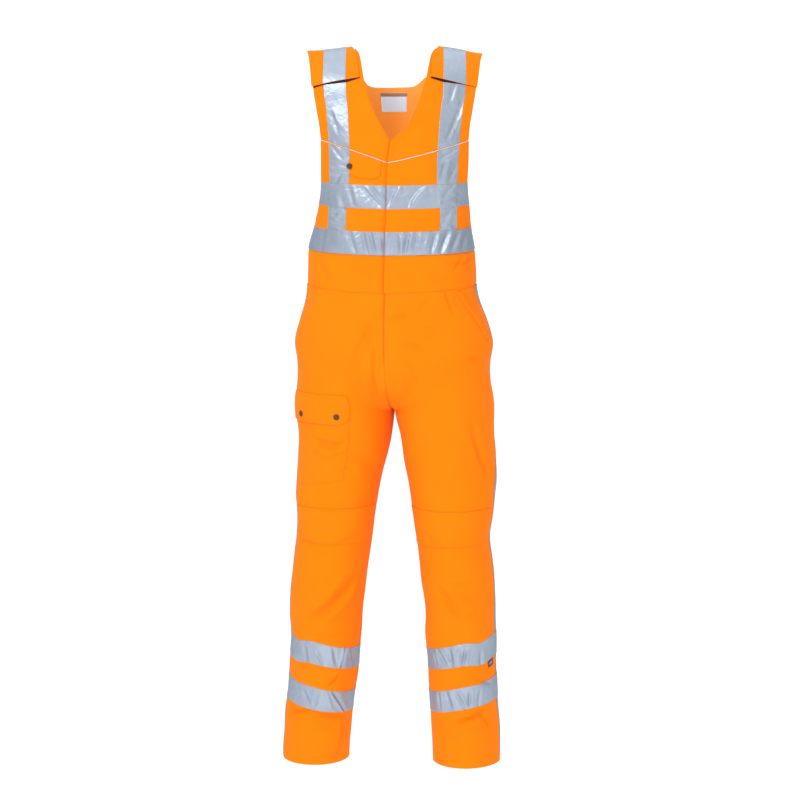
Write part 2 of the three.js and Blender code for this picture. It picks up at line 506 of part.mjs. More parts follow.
// ---------------------------------------------------------------- back of the bodice
const BACK_COLUMNS = 14
const backAngles = (v) => {
  const out = v > -370 ? angleAt(read(BACK, 'v', 'out', v), v) : SIDE
  const tapeOut = angleAt(read(BACK, 'v', 'in', v) + 47, v)
  const tapeIn = angleAt(read(BACK, 'v', 'in', v), v)
  const half = [0, tapeIn / 3, (2 * tapeIn) / 3, tapeIn, (tapeIn + tapeOut) / 2, tapeOut, (tapeOut + out) / 2, out]
  return [...half.slice(1).reverse().map((a) => -a), ...half]
}
const backLines = [...BACK_ROWS, -75].map((v, i) => backAngles(v).map((angle) => {
  const x = section(-DOME).half * bend(Math.sin(angle), 2 / ROUND)
  const top = read(NECKLINE, 'x', x < 0 ? 'r' : 'l', Math.abs(x))
  return [angle, i < BACK_ROWS.length ? v + (i === 0 ? HALF_SEAM : 0) : top]
}))
const back = net(BACK_ROWS.length + 1, BACK_COLUMNS + 1, (i, j) => backLines[i][j],
  (a, b) => torso(1, a, b), -1)
wall('back_bodice', back, cloth)
const backCols = range(BACK_COLUMNS + 1)
wall('waist_tape_back', block(back, [0, 1, 2], backCols), tape, { lift: ON_CLOTH, thick: TRIM })
const backCross = (i, j) => ([2, 3, 4, 10, 11, 12].includes(j) ? ON_TAPE : ON_CLOTH)
wall('chest_tape_back', block(back, [5, 6, 7], backCols), tape, { lift: backCross, thick: TRIM })
const braceRows = [2.03, 3, 4, 5, 6, 7, 8, 9, 10, 11, 12, 12.58]
wall('brace_tape_back_r', block(back, braceRows, [2, 3, 4]), tape, { lift: ON_CLOTH, thick: TRIM })
wall('brace_tape_back_l', block(back, braceRows, [10, 11, 12]), tape, { lift: ON_CLOTH, thick: TRIM })
const labelNet = block(back, [11.49, 12, 12.6], [6, 7, 7.7])
wall('neck_label', labelNet, label, { lift: -ON_CLOTH, thick: TRIM })

// ---------------------------------------------------------------- waistband
const BAND_ROWS = [{ out: -424, in: -428 }, { out: -462, in: -467 }, { out: -499, in: -509 }]
const BAND_OFF = [-HALF_SEAM, 0, HALF_SEAM]
const bandPoint = (a, b) => torso(Math.abs(a) <= Math.PI / 2 ? -1 : 1,
  Math.abs(a) <= Math.PI / 2 ? a : Math.sign(a) * (Math.PI - Math.abs(a)), b)
for (const leg of ['r', 'l']) {
  const side = leg === 'r' ? -1 : 1
  const front = net(3, 11, (i, j) => {
    const t = j / 10
    const middle = angleAt(read(CENTRE, 'v', 'in', BAND_ROWS[i].in) + side * HALF_SEAM, BAND_ROWS[i].in)
    return [mix(side * SIDE, middle, t), mix(BAND_ROWS[i].out, BAND_ROWS[i].in, t) + BAND_OFF[i]]
  }, bandPoint, 1)
  wall(`waistband_front_${leg}`, front, cloth)
}
const bandBack = net(3, 17, (i, j) => [mix(-SIDE, SIDE, j / 16), BAND_ROWS[i].out + BAND_OFF[i]],
  (a, b) => torso(1, a, b), -1)
wall('waistband_back', bandBack, cloth)

// ---------------------------------------------------------------- trousers
const TROUSER_ROWS = [
  -499, -545, -585, -622, -660, -700, -729, -749, -761, -767.8, -771.5, -800, -835, -870,
  -906, -942, -978, -1015, -1054, -1088, -1120, -1152, -1184, -1214, -1246, -1278, -1302, -1326, -1350, -1374,
  -1398, -1422, -1452, -1482, -1512, -1541,
]
const ROW = (v) => TROUSER_ROWS.indexOf(v)
const FRONT_COLUMNS = [0, 0.042, 0.085, 0.13, 0.175, 0.22, 0.265, 0.31, 0.355, 0.4]
const REAR_COLUMNS = [0.6, 0.65, 0.7, 0.75, 0.8, 0.85, 0.9, 0.95, 1]
const SEAM_COLUMN = FRONT_COLUMNS.length + 1
const SIDE_SEAM = [ // share of the ring where the side seam runs: the left leg is twisted a little
  { v: -499, r: 0.5, l: 0.51 }, { v: -545, r: 0.5, l: 0.565 }, { v: -600, r: 0.5, l: 0.59 },
  { v: -850, r: 0.5, l: 0.575 }, { v: -905, r: 0.5, l: 0.525 }, { v: -965, r: 0.5, l: 0.525 },
  { v: -1015, r: 0.5, l: 0.548 }, { v: -1054, r: 0.5, l: 0.538 }, { v: -1120, r: 0.5, l: 0.552 },
  { v: -1205, r: 0.5, l: 0.53 }, { v: -1290, r: 0.5, l: 0.53 }, { v: -1350, r: 0.5, l: 0.548 },
  { v: -1415, r: 0.5, l: 0.532 }, { v: -1460, r: 0.5, l: 0.55 }, { v: -1541, r: 0.5, l: 0.556 },
]
const TROUSER_COLUMNS = SEAM_COLUMN + 2 + REAR_COLUMNS.length

// Share of the ring that is `wide` away from the side seam, found by halving
function offSide(leg, v, middle, wide, sign) {
  const seam = trouser(leg, middle, v)
  let lo = 0
  let hi = 0.12
  for (const _ of range(24)) {
    const mid = (lo + hi) / 2
    if (trouser(leg, middle + sign * mid, v).distanceTo(seam) < wide) lo = mid
    else hi = mid
  }
  return middle + sign * lo
}
// Round the ring at a row: the two columns beside the side seam keep the width of the tape, and
// the columns next to them give way where the seam is twisted to the back
const GIVE = { 0.31: 0.12, 0.355: 0.4, 0.4: 0.72, 0.6: 0.6, 0.65: 0.3 }
function ringColumns(leg, v) {
  const seam = read(SIDE_SEAM, 'v', leg, v)
  const yielding = (shares) => shares.map((a) => a + (GIVE[a] ?? 0) * (seam - 0.5))
  return [...yielding(FRONT_COLUMNS), offSide(leg, v, seam, TAPE / 2, -1), seam,
    offSide(leg, v, seam, TAPE / 2, 1), ...yielding(REAR_COLUMNS)]
}
// The waist seam dips towards the centre front
const waistDip = (i, around) => (i === 0 ? -10 * Math.max(0, 1 - 2 * around) - HALF_SEAM - 0.02 : 0)

// Column of a place round the ring, at a row that may lie between two of the net
function columnAt(spots, row, around) {
  const i = Math.min(Math.floor(row), spots.length - 2)
  const shares = spots[i].map((a, j) => mix(a, spots[i + 1][j], row - i))
  const j = shares.findLastIndex((a) => a <= around)
  return j + (around - shares[j]) / (shares[j + 1] - shares[j])
}
const MOUTH = [
  { row: 0.12, around: 0.326 }, { row: 1, around: 0.373 }, { row: 2, around: 0.42 }, { row: 2.75, around: 0.452 },
]
const MOUTH_ROWS = [0.12, 0.56, 1, 1.5, 2, 2.4, 2.75]
const MOUTH_WIDE = 0.0285 // share of the ring

// how far the rows under the two shin tapes of each leg move up
const SHIN_SHIFT = { r: { upper: 0, lower: -4 }, l: { upper: 6, lower: 6 } }
function rowsOf(leg) {
  const shift = (v) => {
    if (v <= -1278 && v >= -1326) return SHIN_SHIFT[leg].upper
    return v <= -1374 && v >= -1422 ? SHIN_SHIFT[leg].lower : 0
  }
  return TROUSER_ROWS.map((v) => v + shift(v))
}
const rings = {}
for (const leg of ['r', 'l']) {
  const outward = leg === 'r' ? -1 : 1
  const rows = rowsOf(leg)
  const spots = rows.map((v) => ringColumns(leg, v))
  const point = (a, b) => trouser(leg, a, b)
  const ring = net(TROUSER_ROWS.length, TROUSER_COLUMNS,
    (i, j) => [spots[i][j], rows[i] + waistDip(i, spots[i][j])], point, outward, [0.003, 2])
  rings[leg] = ring

  // the panels stop short of the seams
  const panel = (first, last) => {
    const cols = range(last - first + 1).map((c) => first + c)
    const g = block(ring, range(ring.rows), cols)
    for (const i of range(g.rows)) {
      for (const [end, next] of [[0, 1], [cols.length - 1, cols.length - 2]]) {
        const step = g.P[i][next].clone().sub(g.P[i][end])
        g.P[i][end].addScaledVector(step.normalize(), HALF_SEAM)
      }
    }
    return g
  }
  wall(`front_leg_${leg}`, panel(0, SEAM_COLUMN), cloth)
  wall(`back_leg_${leg}`, panel(SEAM_COLUMN, TROUSER_COLUMNS - 1), cloth)

  // knee piece from inside seam to side tape
  const kneeCols = [0.35, ...range(SEAM_COLUMN - 2).map((c) => c + 1), SEAM_COLUMN - 1.06]
  wall(`knee_patch_${leg}`, block(ring, [ROW(-978), ROW(-1015), ROW(-1054)], kneeCols), cloth,
    { lift: PATCH_ON, thick: PATCH })

  // reflective rings round the shin, over the side tape
  const round = range(TROUSER_COLUMNS - 1)
  const overSide = (i, j) => (Math.abs(j - SEAM_COLUMN) <= 1 ? ON_TAPE : ON_CLOTH)
  const upper = block(ring, [ROW(-1278), ROW(-1302), ROW(-1326)], round)
  const lower = block(ring, [ROW(-1374), ROW(-1398), ROW(-1422)], round)
  wall(`shin_tape_upper_${leg}`, upper, tape, { lift: overSide, thick: TRIM, ring: true })
  wall(`shin_tape_lower_${leg}`, lower, tape, { lift: overSide, thick: TRIM, ring: true })

  // reflective tape down the side seam
  const sideRows = [0.02, ...range(TROUSER_ROWS.length - 2).map((r) => r + 1), TROUSER_ROWS.length - 1.3]
  wall(`side_tape_${leg}`, block(ring, sideRows, [SEAM_COLUMN - 1, SEAM_COLUMN, SEAM_COLUMN + 1]), tape,
    { lift: ON_CLOTH, thick: TRIM })

  // slanted mouth of the hip pocket: a facing of 15 mm that runs from waist seam to side seam
  const mouth = part(ring, MOUTH_ROWS.length, 3, (i, j) => {
    const around = read(MOUTH, 'row', 'around', MOUTH_ROWS[i]) - MOUTH_WIDE * (1 - j / 2)
    return [MOUTH_ROWS[i], columnAt(spots, MOUTH_ROWS[i], around)]
  })
  wall(`hip_pocket_edge_${leg}`, mouth, cloth, { lift: PATCH_ON + 1.6, thick: PATCH })
}

// cargo pocket on the right thigh: body, flap with a clipped front corner, two press studs
const pocketRows = [6.15, 7, 8, 9, 10, 11, 12, 13, 14, 14.28]
const pocketCols = [4.72, 5, 6, 7, 8, 9, 9.6]
const pocket = part(rings.r, pocketRows.length, pocketCols.length, (i, j) => [
  pocketRows[i] + (i === pocketRows.length - 1 ? 0.08 * j : 0), pocketCols[j]])
wall('thigh_pocket', pocket, cloth, { lift: PATCH_ON + 0.45, thick: PATCH })
const flapRows = [6.05, 7, 8, 9, 10]
const FLAP_COLS = [
  { column: 4.7, low: 10.1 }, { column: 5, low: 10.5 }, { column: 5.32, low: 10.7 },
  { column: 6, low: 10.7 }, { column: 7, low: 10.7 }, { column: 8, low: 10.7 },
  { column: 9, low: 10.7 }, { column: 9.68, low: 10.7 },
]
const flap = part(rings.r, flapRows.length + 1, FLAP_COLS.length, (i, j) => {
  const row = i < flapRows.length ? flapRows[i] : FLAP_COLS[j].low
  const spread = j === 0 ? 0.3 * clamp((8.5 - row) / 2.45, 0, 1) : 0
  return [row, FLAP_COLS[j].column - spread]
})
wall('thigh_pocket_flap', flap, cloth, { lift: FLAP_ON, thick: PATCH })
const studLift = FLAP_ON + PATCH / 2 + GAP
snap('snap_thigh_front', rings.r, 10.12, 5.6, studLift + 0.25)
snap('snap_thigh_rear', rings.r, 10.12, 8.62, studLift + 0.25)

// small tag at the lower edge of the upper shin tape
const tagRow = ROW(-1326)
const tag = block(rings.l, [tagRow + 0.06, tagRow + 0.6], [8.72, 9, 9.42])
wall('leg_tag', tag, maroon, { lift: ON_CLOTH, thick: TRIM })

export default group
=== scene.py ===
"""Bib overalls of fluorescent orange twill with reflective tapes, filled out as worn.

Laid out as a Blender add-on: the sizes and colours are properties of the scene, each piece or
group of like pieces has an operator, and a panel in the 3D view's sidebar lists them.
Tables and nets are in millimetres, +Z up, the front faces -Y; meshes are made in metres.
_r is the wearer's right (-X), _l the wearer's left (+X).
"""

import math
from types import SimpleNamespace

import bpy
import numpy as np
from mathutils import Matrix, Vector


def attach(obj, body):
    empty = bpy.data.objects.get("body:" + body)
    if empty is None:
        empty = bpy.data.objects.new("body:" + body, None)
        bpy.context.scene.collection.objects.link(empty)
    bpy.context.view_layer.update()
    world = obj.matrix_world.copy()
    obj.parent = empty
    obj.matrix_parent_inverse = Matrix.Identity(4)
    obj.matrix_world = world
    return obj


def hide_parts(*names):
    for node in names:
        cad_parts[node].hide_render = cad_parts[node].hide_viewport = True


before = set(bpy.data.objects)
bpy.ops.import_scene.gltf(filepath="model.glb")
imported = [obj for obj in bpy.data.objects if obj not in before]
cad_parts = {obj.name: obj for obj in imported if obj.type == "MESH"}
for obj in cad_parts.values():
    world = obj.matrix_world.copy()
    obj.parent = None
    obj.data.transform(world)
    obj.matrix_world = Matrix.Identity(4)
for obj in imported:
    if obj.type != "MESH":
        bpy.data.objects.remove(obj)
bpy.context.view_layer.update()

bl_info = {
    "name": "Hi-vis bib overalls",
    "version": (1, 0, 0),
    "blender": (4, 5, 0),
    "location": "3D View > Sidebar > Overalls",
    "description": "Makes bib overalls of twill with reflective tapes, one piece at a time",
    "category": "Add Mesh",
}

MM = 0.001
BODY = "root"
SIDES = {"r": -1, "l": 1}
UV_NAME = "cloth_mm"

# ---------------------------------------------------------------- driving sizes of the cut
ROUND = 2.2  # squareness of the body sections
DOME = 98  # height of the shoulder arch
SHOULDER_TOP = 3
SHOULDER_SLOPE = {"r": 0.105, "l": 0.148}
SHOULDER_BACK = 15
NECK_END = 92
FORK_TOP = -610
RISE_TOP = -668
CROTCH = -770
HEM = -1541
HEM_DROP = {"r": 9, "l": 3}
HALF_SEAM = 0.15
HALF_CENTRE = 0.9  # half the gap that the two legs keep between them, apart from the seam
TAPE = 49
BRACE_TAPE = 47  # width of the upright tapes over the shoulders
SIDE = math.pi / 2 - 0.0012
PIPING_BEND = {"r": 1.5, "l": 1.15}
FOLD_GIRTH = 560  # around = 1 is this long where folds of the legs are measured
FLY_END = -668
CLIMB_FROM = -900  # below this height the rings of the legs climb to the outer side
HANG_FROM = -1422  # below this one the hem hangs lower
NECK_FROM = -190  # above this one the inner edge is the neck edge


def table(names, *rows):
    """Columns of a table by name, in rising order of the first one."""
    values = np.array(sorted(rows), float)
    return {name: values[:, k] for k, name in enumerate(names.split())}


def read(columns, name, at):
    """Smooth values of a column at places of the table's first column."""
    x, y = next(iter(columns.values())), columns[name]
    at = np.clip(at, x[0], x[-1])
    k = np.clip(np.searchsorted(x, at, side="right") - 1, 0, len(x) - 2)
    low = np.maximum(np.arange(len(x)) - 1, 0)
    high = np.minimum(np.arange(len(x)) + 1, len(x) - 1)
    slope = (y[high] - y[low]) / (x[high] - x[low])
    span = x[k + 1] - x[k]
    t = (at - x[k]) / span
    return (
        (2 * t**3 - 3 * t**2 + 1) * y[k] + (t**3 - 2 * t**2 + t) * span * slope[k]
        + (3 * t**2 - 2 * t**3) * y[k + 1] + (t**3 - t**2) * span * slope[k + 1]
    )


# Body sections by height: half width, depth to front and back, middle, turn in degrees
SECTIONS = table(
    "z half front back mid turn",
    (-98, 230, 76, 78, 1, 8.5), (-145, 198, 90, 88, 1, 8), (-190, 181, 101, 96, 2, 7),
    (-280, 169, 113, 104, 4, 4.5), (-340, 167, 118, 108, 2, 3.9), (-376, 167, 119, 111, -3, 3.2),
    (-425, 177, 121, 115, -5, 1.8), (-505, 181, 125, 124, -5, 0), (-537, 186.5, 129, 130, -3.5, 0),
    (-580, 200.5, 133, 137, -1.5, 0), (-625, 212, 135, 141, -1, 0), (-669, 207, 133, 142, -1, 0),
    (-712, 205.5, 129, 138, -0.5, 0), (-770, 211, 124, 132, -0.3, 0), (-800, 211, 120, 128, 0, 0),
)
# Leg sections: middles, half widths, depth, its middle, climb of the rings to the outer side, and
# sag before it
LEGS = table(
    "z mid_r mid_l half_r half_l deep mid_y climb sag",
    (-610, 104, 104, 104, 104, 128, 4, 0, 0), (-770, 108.5, 109.5, 105.5, 106, 119, 4, 0, 0),
    (-824, 107.8, 115, 100.8, 101, 112, 3, 0, 0), (-868, 112.3, 120.5, 96.3, 99, 107, 1, 0, 0),
    (-913, 119, 126, 92, 95, 102, -2, 0, 0), (-957, 124.5, 127.5, 88.5, 89.5, 98, -5, 0, 0),
    (-1001, 126.5, 128.5, 84, 84, 95, -7, 0, 0), (-1046, 130, 129.5, 80.5, 78, 92, -7, 2, 0),
    (-1091, 136.3, 134, 80.3, 78.5, 90, -5, 6, 0), (-1136, 142.5, 139, 80, 78.5, 89, -2, 10, 0),
    (-1181, 148, 143, 80.5, 76.5, 88, 0, 14, 0), (-1226, 151.5, 145, 78, 75.5, 87, 1, 18, 4),
    (-1270, 151.5, 146, 75, 75.8, 86, 1, 20, 10.5), (-1316, 155, 148, 74.5, 73.8, 85, 1, 17, 10.5),
    (-1361, 158, 150.5, 74, 73.8, 84, 0, 18, 4), (-1406, 163, 153, 72.5, 73.3, 84, 0, 16, 1.5),
    (-1452, 169, 156.5, 73.5, 73.3, 84, -1, 9, 0), (-1498, 171, 158.5, 73.5, 73.3, 84, -2, 2, 0),
    (-1541, 174.5, 159, 71.5, 73.3, 83, -2, 0, 0),
)
SAG_MIDDLE, SAG_WIDE = 0.7, 0.3  # where the rings sag: 0 middle of the leg, 1 outer side
# Free edge of the bib fronts, by height
FRONT_EDGE = table(
    "v out",
    (0, 186), (-36, 181), (-60, 177), (-84, 172), (-105, 168), (-128, 164), (-150, 160.5),
    (-190, 157.5), (-235, 156.5), (-279, 155.5), (-302, 157), (-326, 160.5), (-350, 164), (-362, 166),
)
# Inner edge and width of the upright tape on the front
BRACE = table(
    "v r l wide_r wide_l",
    (0, 103, 103, 47, 47), (-76, 103, 103, 47, 47), (-130, 98.5, 98.5, 46, 46),
    (-190, 93.5, 93.5, 45, 45), (-240, 92, 92, 43, 43), (-290, 93, 94, 41.5, 40),
    (-327, 96, 101, 40, 34), (-376, 90, 108, 41, 33), (-425, 90, 108, 42, 36),
)
# Centre-front line, and the neck edge above it
CENTRE = table(
    "v x", (-190, -7), (-234, -11), (-282, -11), (-330, -9), (-376, -4), (-425, 0), (-505, 2.5),
)
NECK = table(
    "v r l",
    (-190, -7.2, -6), (-156, -28, 28), (-121, -46, 46), (-100, -54.5, 54.5), (-86, -60.5, 60.5),
    (-72, -66, 67.5), (-58, -69.5, 71.5), (-44, -72.5, 75), (-30, -76.5, 79), (-16, -83, 86),
)
# Rows of the fronts: height at the armhole edge and at the inner edge
BIB_ROWS = table(
    "row out inner",
    (0, -424, -428), (1, -400, -404), (2, -375.5, -379.5), (3, -350, -355), (4, -326.5, -330.5),
    (5, -302, -306), (6, -278.5, -282), (7, -250, -263), (8, -220, -248), (9, -190, -234),
)
YOKE_ROWS = table(
    "row out inner",
    (0, -190, -234), (1, -171, -212), (2, -152, -190), (3, -130, -156), (4, -108, -121),
    (5, -98, -100), (6, -86, -86), (7, -72, -72), (8, -58, -58), (9, -44, -44), (10, -30, -30),
    (11, -16, -16),
)
SAG_FROM = 10  # rows that fall further than this to the middle hang in a curve
FRONT_COLUMNS = (0, 3, 5, 10)  # armhole edge, outer and inner edge of the tape, inner edge
TAPE_OUT, TAPE_IN, LAST = FRONT_COLUMNS[1:]
CHEST_TAPE = (4, 6)
WAIST_TAPE = (0, 2)
# Shoulder strap, over the arch: negative on the front, positive on the back
STRAP_ROWS = table(
    "row out inner",
    (0, -84, -72), (1, -72, -64), (2, -58, -56), (3, -44, -44), (4, -30, -30), (5, -16, -16),
    (6, 0, 0), (7, 16, 16), (8, 31, 31), (9, 46, 46), (10, 60, 60), (11, 73, 73), (12, 86, 86),
)
STRAP = table(
    "v r l out tape",
    (-84, 72.5, 75.5, 173, 103), (-56, 77, 77.5, 178, 103), (-36, 81.5, 81.5, 181, 103),
    (0, 91, 93.5, 186, 103), (30, 86, 87, 178, 100.8), (60, 75, 75, 162, 96.5), (86, 66, 66, 147, 92),
)
# Back bodice: rear armhole edge, inner edge of the upright tape, top edge between the straps
BACK = table(
    "v out tape",
    (-75, 150, 94), (-98, 140, 88), (-125, 134, 83), (-150, 131, 80), (-190, 129, 77),
    (-235, 129, 75), (-280, 131, 74), (-327, 136, 75), (-345, 142, 76), (-358, 151, 76), (-366, 160, 77),
)
BACK_ROWS = (-424, -400, -375.5, -360, -345, -326.5, -302, -278.5, -246, -214, -182, -150, -122)
NECKLINE = table(
    "x r l",
    (0, -90.5, -90.5), (38, -90, -89), (50, -89, -85), (60, -86, -79), (68, -79, -75), (76, -75, -75),
    (160, -75, -75),
)
BAND_ROWS = table("row out inner", (0, -424, -428), (1, -462, -467), (2, -499, -509))
UNDERARM = (-375.5, -360)  # between these heights the free edges close into the side seam

TROUSER_ROWS = (
    -499, -545, -585, -622, -660, -700, -729, -749, -761, -767.8, -771.5, -800, -835, -870,
    -906, -942, -978, -1015, -1054, -1088, -1120, -1152, -1184, -1214, -1246, -1278, -1302, -1326,
    -1350, -1374, -1398, -1422, -1452, -1482, -1512, -1541,
)
SHIN_SHIFT = {"r": (0, -4), "l": (6, 6)}  # how far the rows under each leg's two tapes move up
FRONT_SHARES = (0, 0.042, 0.085, 0.13, 0.175, 0.22, 0.265, 0.31, 0.355, 0.4)
REAR_SHARES = (0.6, 0.65, 0.7, 0.75, 0.8, 0.85, 0.9, 0.95, 1)
SIDE_SEAM = table(  # share of the ring where the side seam runs: the left leg is twisted a little
    "v r l",
    (-499, 0.5, 0.51), (-545, 0.5, 0.565), (-600, 0.5, 0.59), (-850, 0.5, 0.575), (-905, 0.5, 0.525),
    (-965, 0.5, 0.525), (-1015, 0.5, 0.548), (-1054, 0.5, 0.538), (-1120, 0.5, 0.552),
    (-1205, 0.5, 0.53), (-1290, 0.5, 0.53), (-1350, 0.5, 0.548), (-1415, 0.5, 0.532),
    (-1460, 0.5, 0.55), (-1541, 0.5, 0.556),
)
# Columns that give way to the twist, by their share of the ring
GIVE = {0.31: 0.12, 0.355: 0.4, 0.4: 0.72, 0.6: 0.6, 0.65: 0.3}
SEAM_COLUMN = len(FRONT_SHARES) + 1
LAST_COLUMN = SEAM_COLUMN + 1 + len(REAR_SHARES)
LAST_ROW = len(TROUSER_ROWS) - 1


def rows_of(leg):
    """Heights of the rows of a leg."""
    rows = np.array(TROUSER_ROWS, float)
    upper, lower = ((rows <= top) & (rows >= top - 48) for top in (-1278, -1374))
    return rows + SHIN_SHIFT[leg][0] * upper + SHIN_SHIFT[leg][1] * lower


def row_at(v):
    """Row of the trousers at a height."""
    return float(np.interp(-v, [-r for r in TROUSER_ROWS], range(len(TROUSER_ROWS))))


def folds(*rows):
    """Folds as records. A line runs from (a, b) to (to_a, to_b); depth above 0 is a trough. lip is
    the share of a ridge beside it and bow the sideways curve of the line."""
    names = "a b to_a to_b wide depth lip bow".split()
    return [SimpleNamespace(**dict(zip(names, (*row, 0, 0)[:8]))) for row in rows]


# Folds of the fronts, by x and height
FRONT_FOLDS = folds(
    # below the chest tape, and across the waistband
    (-88, -338, -96, -300, 7, 2.7, 0.5), (-60, -452, 40, -462, 26, 3),
    # waistband, beside the armhole
    (156, -431, 142, -461, 4, 3.6, 0.7), (170, -440, 147, -455, 4, 3.3, 0.7),
    (122, -443, 168, -452, 5, 2.1, 0.5),
    # waistband, below
    (88, -470, 140, -490, 10, 3, 0.5), (-150, -450, -120, -492, 10, 3.3, 0.5),
    # below the yoke seam
    (12, -196, 30, -212, 8, 3.3, 0.5), (24, -226, 4, -206, 9, 2.1, 0.4),
    (-96, -210, -74, -222, 12, 2.4, 0.5), (70, -228, 96, -262, 16, -2.4),
    # yokes
    (60, -150, 40, -190, 16, 2.4, 0.4), (-70, -110, -52, -160, 18, 2.4, 0.3),
)
BACK_FOLDS = folds(
    (-120, -300, -40, -338, 14, 2.6, 0.5, 8), (118, -296, 50, -330, 14, 2.4, 0.5, -8),
    (-60, -150, -96, -230, 17, 2.2, 0.4, 6), (70, -140, 100, -220, 17, 2.2, 0.4, -6),
    (-30, -250, 36, -262, 18, 1.6, 0.4, 5), (-20, -372, 60, -352, 12, 1.4, 0.5),
    (-128, -446, -40, -476, 12, 2.6, 0.6, 7), (132, -440, 30, -470, 13, 2.6, 0.6, -7),
    (-70, -488, 20, -462, 11, 1.8, 0.5), (-8, -190, 30, -172, 20, 1.2, 0.3),
)
# Folds of the legs, by share of the ring times FOLD_GIRTH and height
LEG_FOLDS = {
    "r": folds(
        # from the fly and the crotch, and over the hip
        (5, -553, 75, -723, 9, 6.4, 0.3, 2), (14, -621, 22, -736, 3.2, 5.5, 0.7),
        (6, -608, 8, -706, 3, 3.5, 0.6), (29, -617, 67, -724, 7, -2.9, 0, 10),
        (161, -529, 183, -578, 14, -3.8), (60, -512, 110, -560, 22, 3.4, 0.3),
        # thigh and below the knee
        (227, -941, 211, -1009, 12, -4.5), (109, -848, 52, -898, 14, 3, 0.3),
        (142, -1128, 109, -1128, 6, 2.7, 0.4), (48, -1119, 170, -1236, 10, 8, 0, -6),
        (92, -1126, 163, -1213, 9, -5.1, 0, -4), (45, -1142, 133, -1229, 10, -5.7, 0, -5),
        (156, -1259, 86, -1255, 4, 3.3, 0.5),
        # between the tapes and at the hem
        (79, -1338, 107, -1365, 3.4, 5.1, 0.7), (209, -1447, 151, -1431, 4.4, 6.5, 0.6),
        (159, -1432, 48, -1438, 4.4, 6, 0.5), (139, -1451, 77, -1463, 8, 4.5, 0.4),
        (42, -1448, 59, -1521, 8, 5, 0.4), (224, -1440, 185, -1452, 12, 4.5, 0.4),
        # knee and below the thigh pocket
        (212, -1050, 168, -1066, 10, 3.6, 0.5), (66, -1040, 128, -1062, 10, 3, 0.5),
        (150, -880, 100, -900, 14, 2.1, 0.4),
        # back of the leg: behind the knee, below the seat, calf and hem
        (336, -1010, 482, -1030, 18, 7, 0.4, 8), (370, -1060, 515, -1050, 17, 6, 0.4, -8),
        (482, -800, 381, -850, 22, 6, 0.4, 10), (347, -1215, 459, -1250, 18, 5, 0.5, 6),
        (420, -600, 500, -640, 24, 4, 0.3), (515, -690, 440, -735, 13, 4.6, 0.5, 7),
        (500, -740, 420, -770, 11, 4, 0.5, 6), (380, -1335, 470, -1362, 12, 3.6, 0.6, 5),
        (360, -1450, 450, -1470, 12, 3.6, 0.6, 5), (420, -900, 470, -990, 18, 4, 0.3, 8),
        (330, -1120, 372, -1186, 12, 3.4, 0.5), (472, -1100, 430, -1168, 15, 3.4, 0.4),
    ),
    "l": folds(
        # from the fly and the crotch, and over the hip
        (10, -561, 39, -557, 7, 5, 0.4), (12, -540, 32, -546, 7, -3.4), (29, -611, 66, -631, 8, 7.1, 0.4),
        (12, -631, 52, -686, 6, -5.9), (96, -519, 62, -548, 10, 4.2, 0.3),
        (8, -669, 23, -710, 7, 5.5, 0.4), (134, -504, 145, -547, 5, 4.6, 0.5),
        (71, -584, 100, -597, 8, 3.8, 0.4), (59, -675, 144, -705, 10, -3.8),
        (174, -646, 206, -654, 5, 4.6, 0.5),
        # side of the thigh
        (204, -793, 242, -912, 8, 6, 0.5, -5), (192, -787, 211, -880, 7, -3),
        (159, -812, 175, -817, 6, 2.4, 0.3),
        # below the knee
        (98, -1144, 158, -1218, 10, 9.5, 0, 2), (134, -1148, 191, -1201, 7, -6.6),
        (109, -1172, 163, -1233, 9, -5.1), (128, -1139, 185, -1142, 5, 3, 0.4),
        (158, -1218, 197, -1210, 5, 3, 0.4),
        # between the tapes and at the hem
        (175, -1345, 238, -1377, 5, 3.6, 0.5), (130, -1442, 205, -1432, 4.6, 6.5, 0.6),
        (198, -1433, 227, -1464, 5, 6.5, 0.5), (127, -1451, 218, -1453, 9, -5),
        (90, -1470, 150, -1500, 12, 3.3, 0.5),
        # knee
        (70, -1030, 116, -1052, 11, 3, 0.5),
        # back of the leg: behind the knee, below the seat, calf and hem
        (325, -1022, 465, -1012, 18, 7, 0.4, 8), (381, -1052, 504, -1068, 17, 6, 0.4, -8),
        (493, -795, 392, -838, 22, 6, 0.4, 10), (358, -1240, 470, -1212, 18, 5, 0.5, 6),
        (420, -596, 500, -636, 24, 4, 0.3), (512, -694, 440, -738, 13, 4.4, 0.5, 7),
        (506, -742, 430, -768, 11, 4, 0.5, 6), (372, -1330, 470, -1360, 12, 3.6, 0.6, -5),
        (352, -1466, 450, -1446, 12, 3.6, 0.6, 5), (412, -905, 470, -985, 18, 4, 0.3, -8),
        (336, -1124, 380, -1190, 12, 3.4, 0.5), (478, -1110, 436, -1170, 15, 3.4, 0.4),
    ),
}
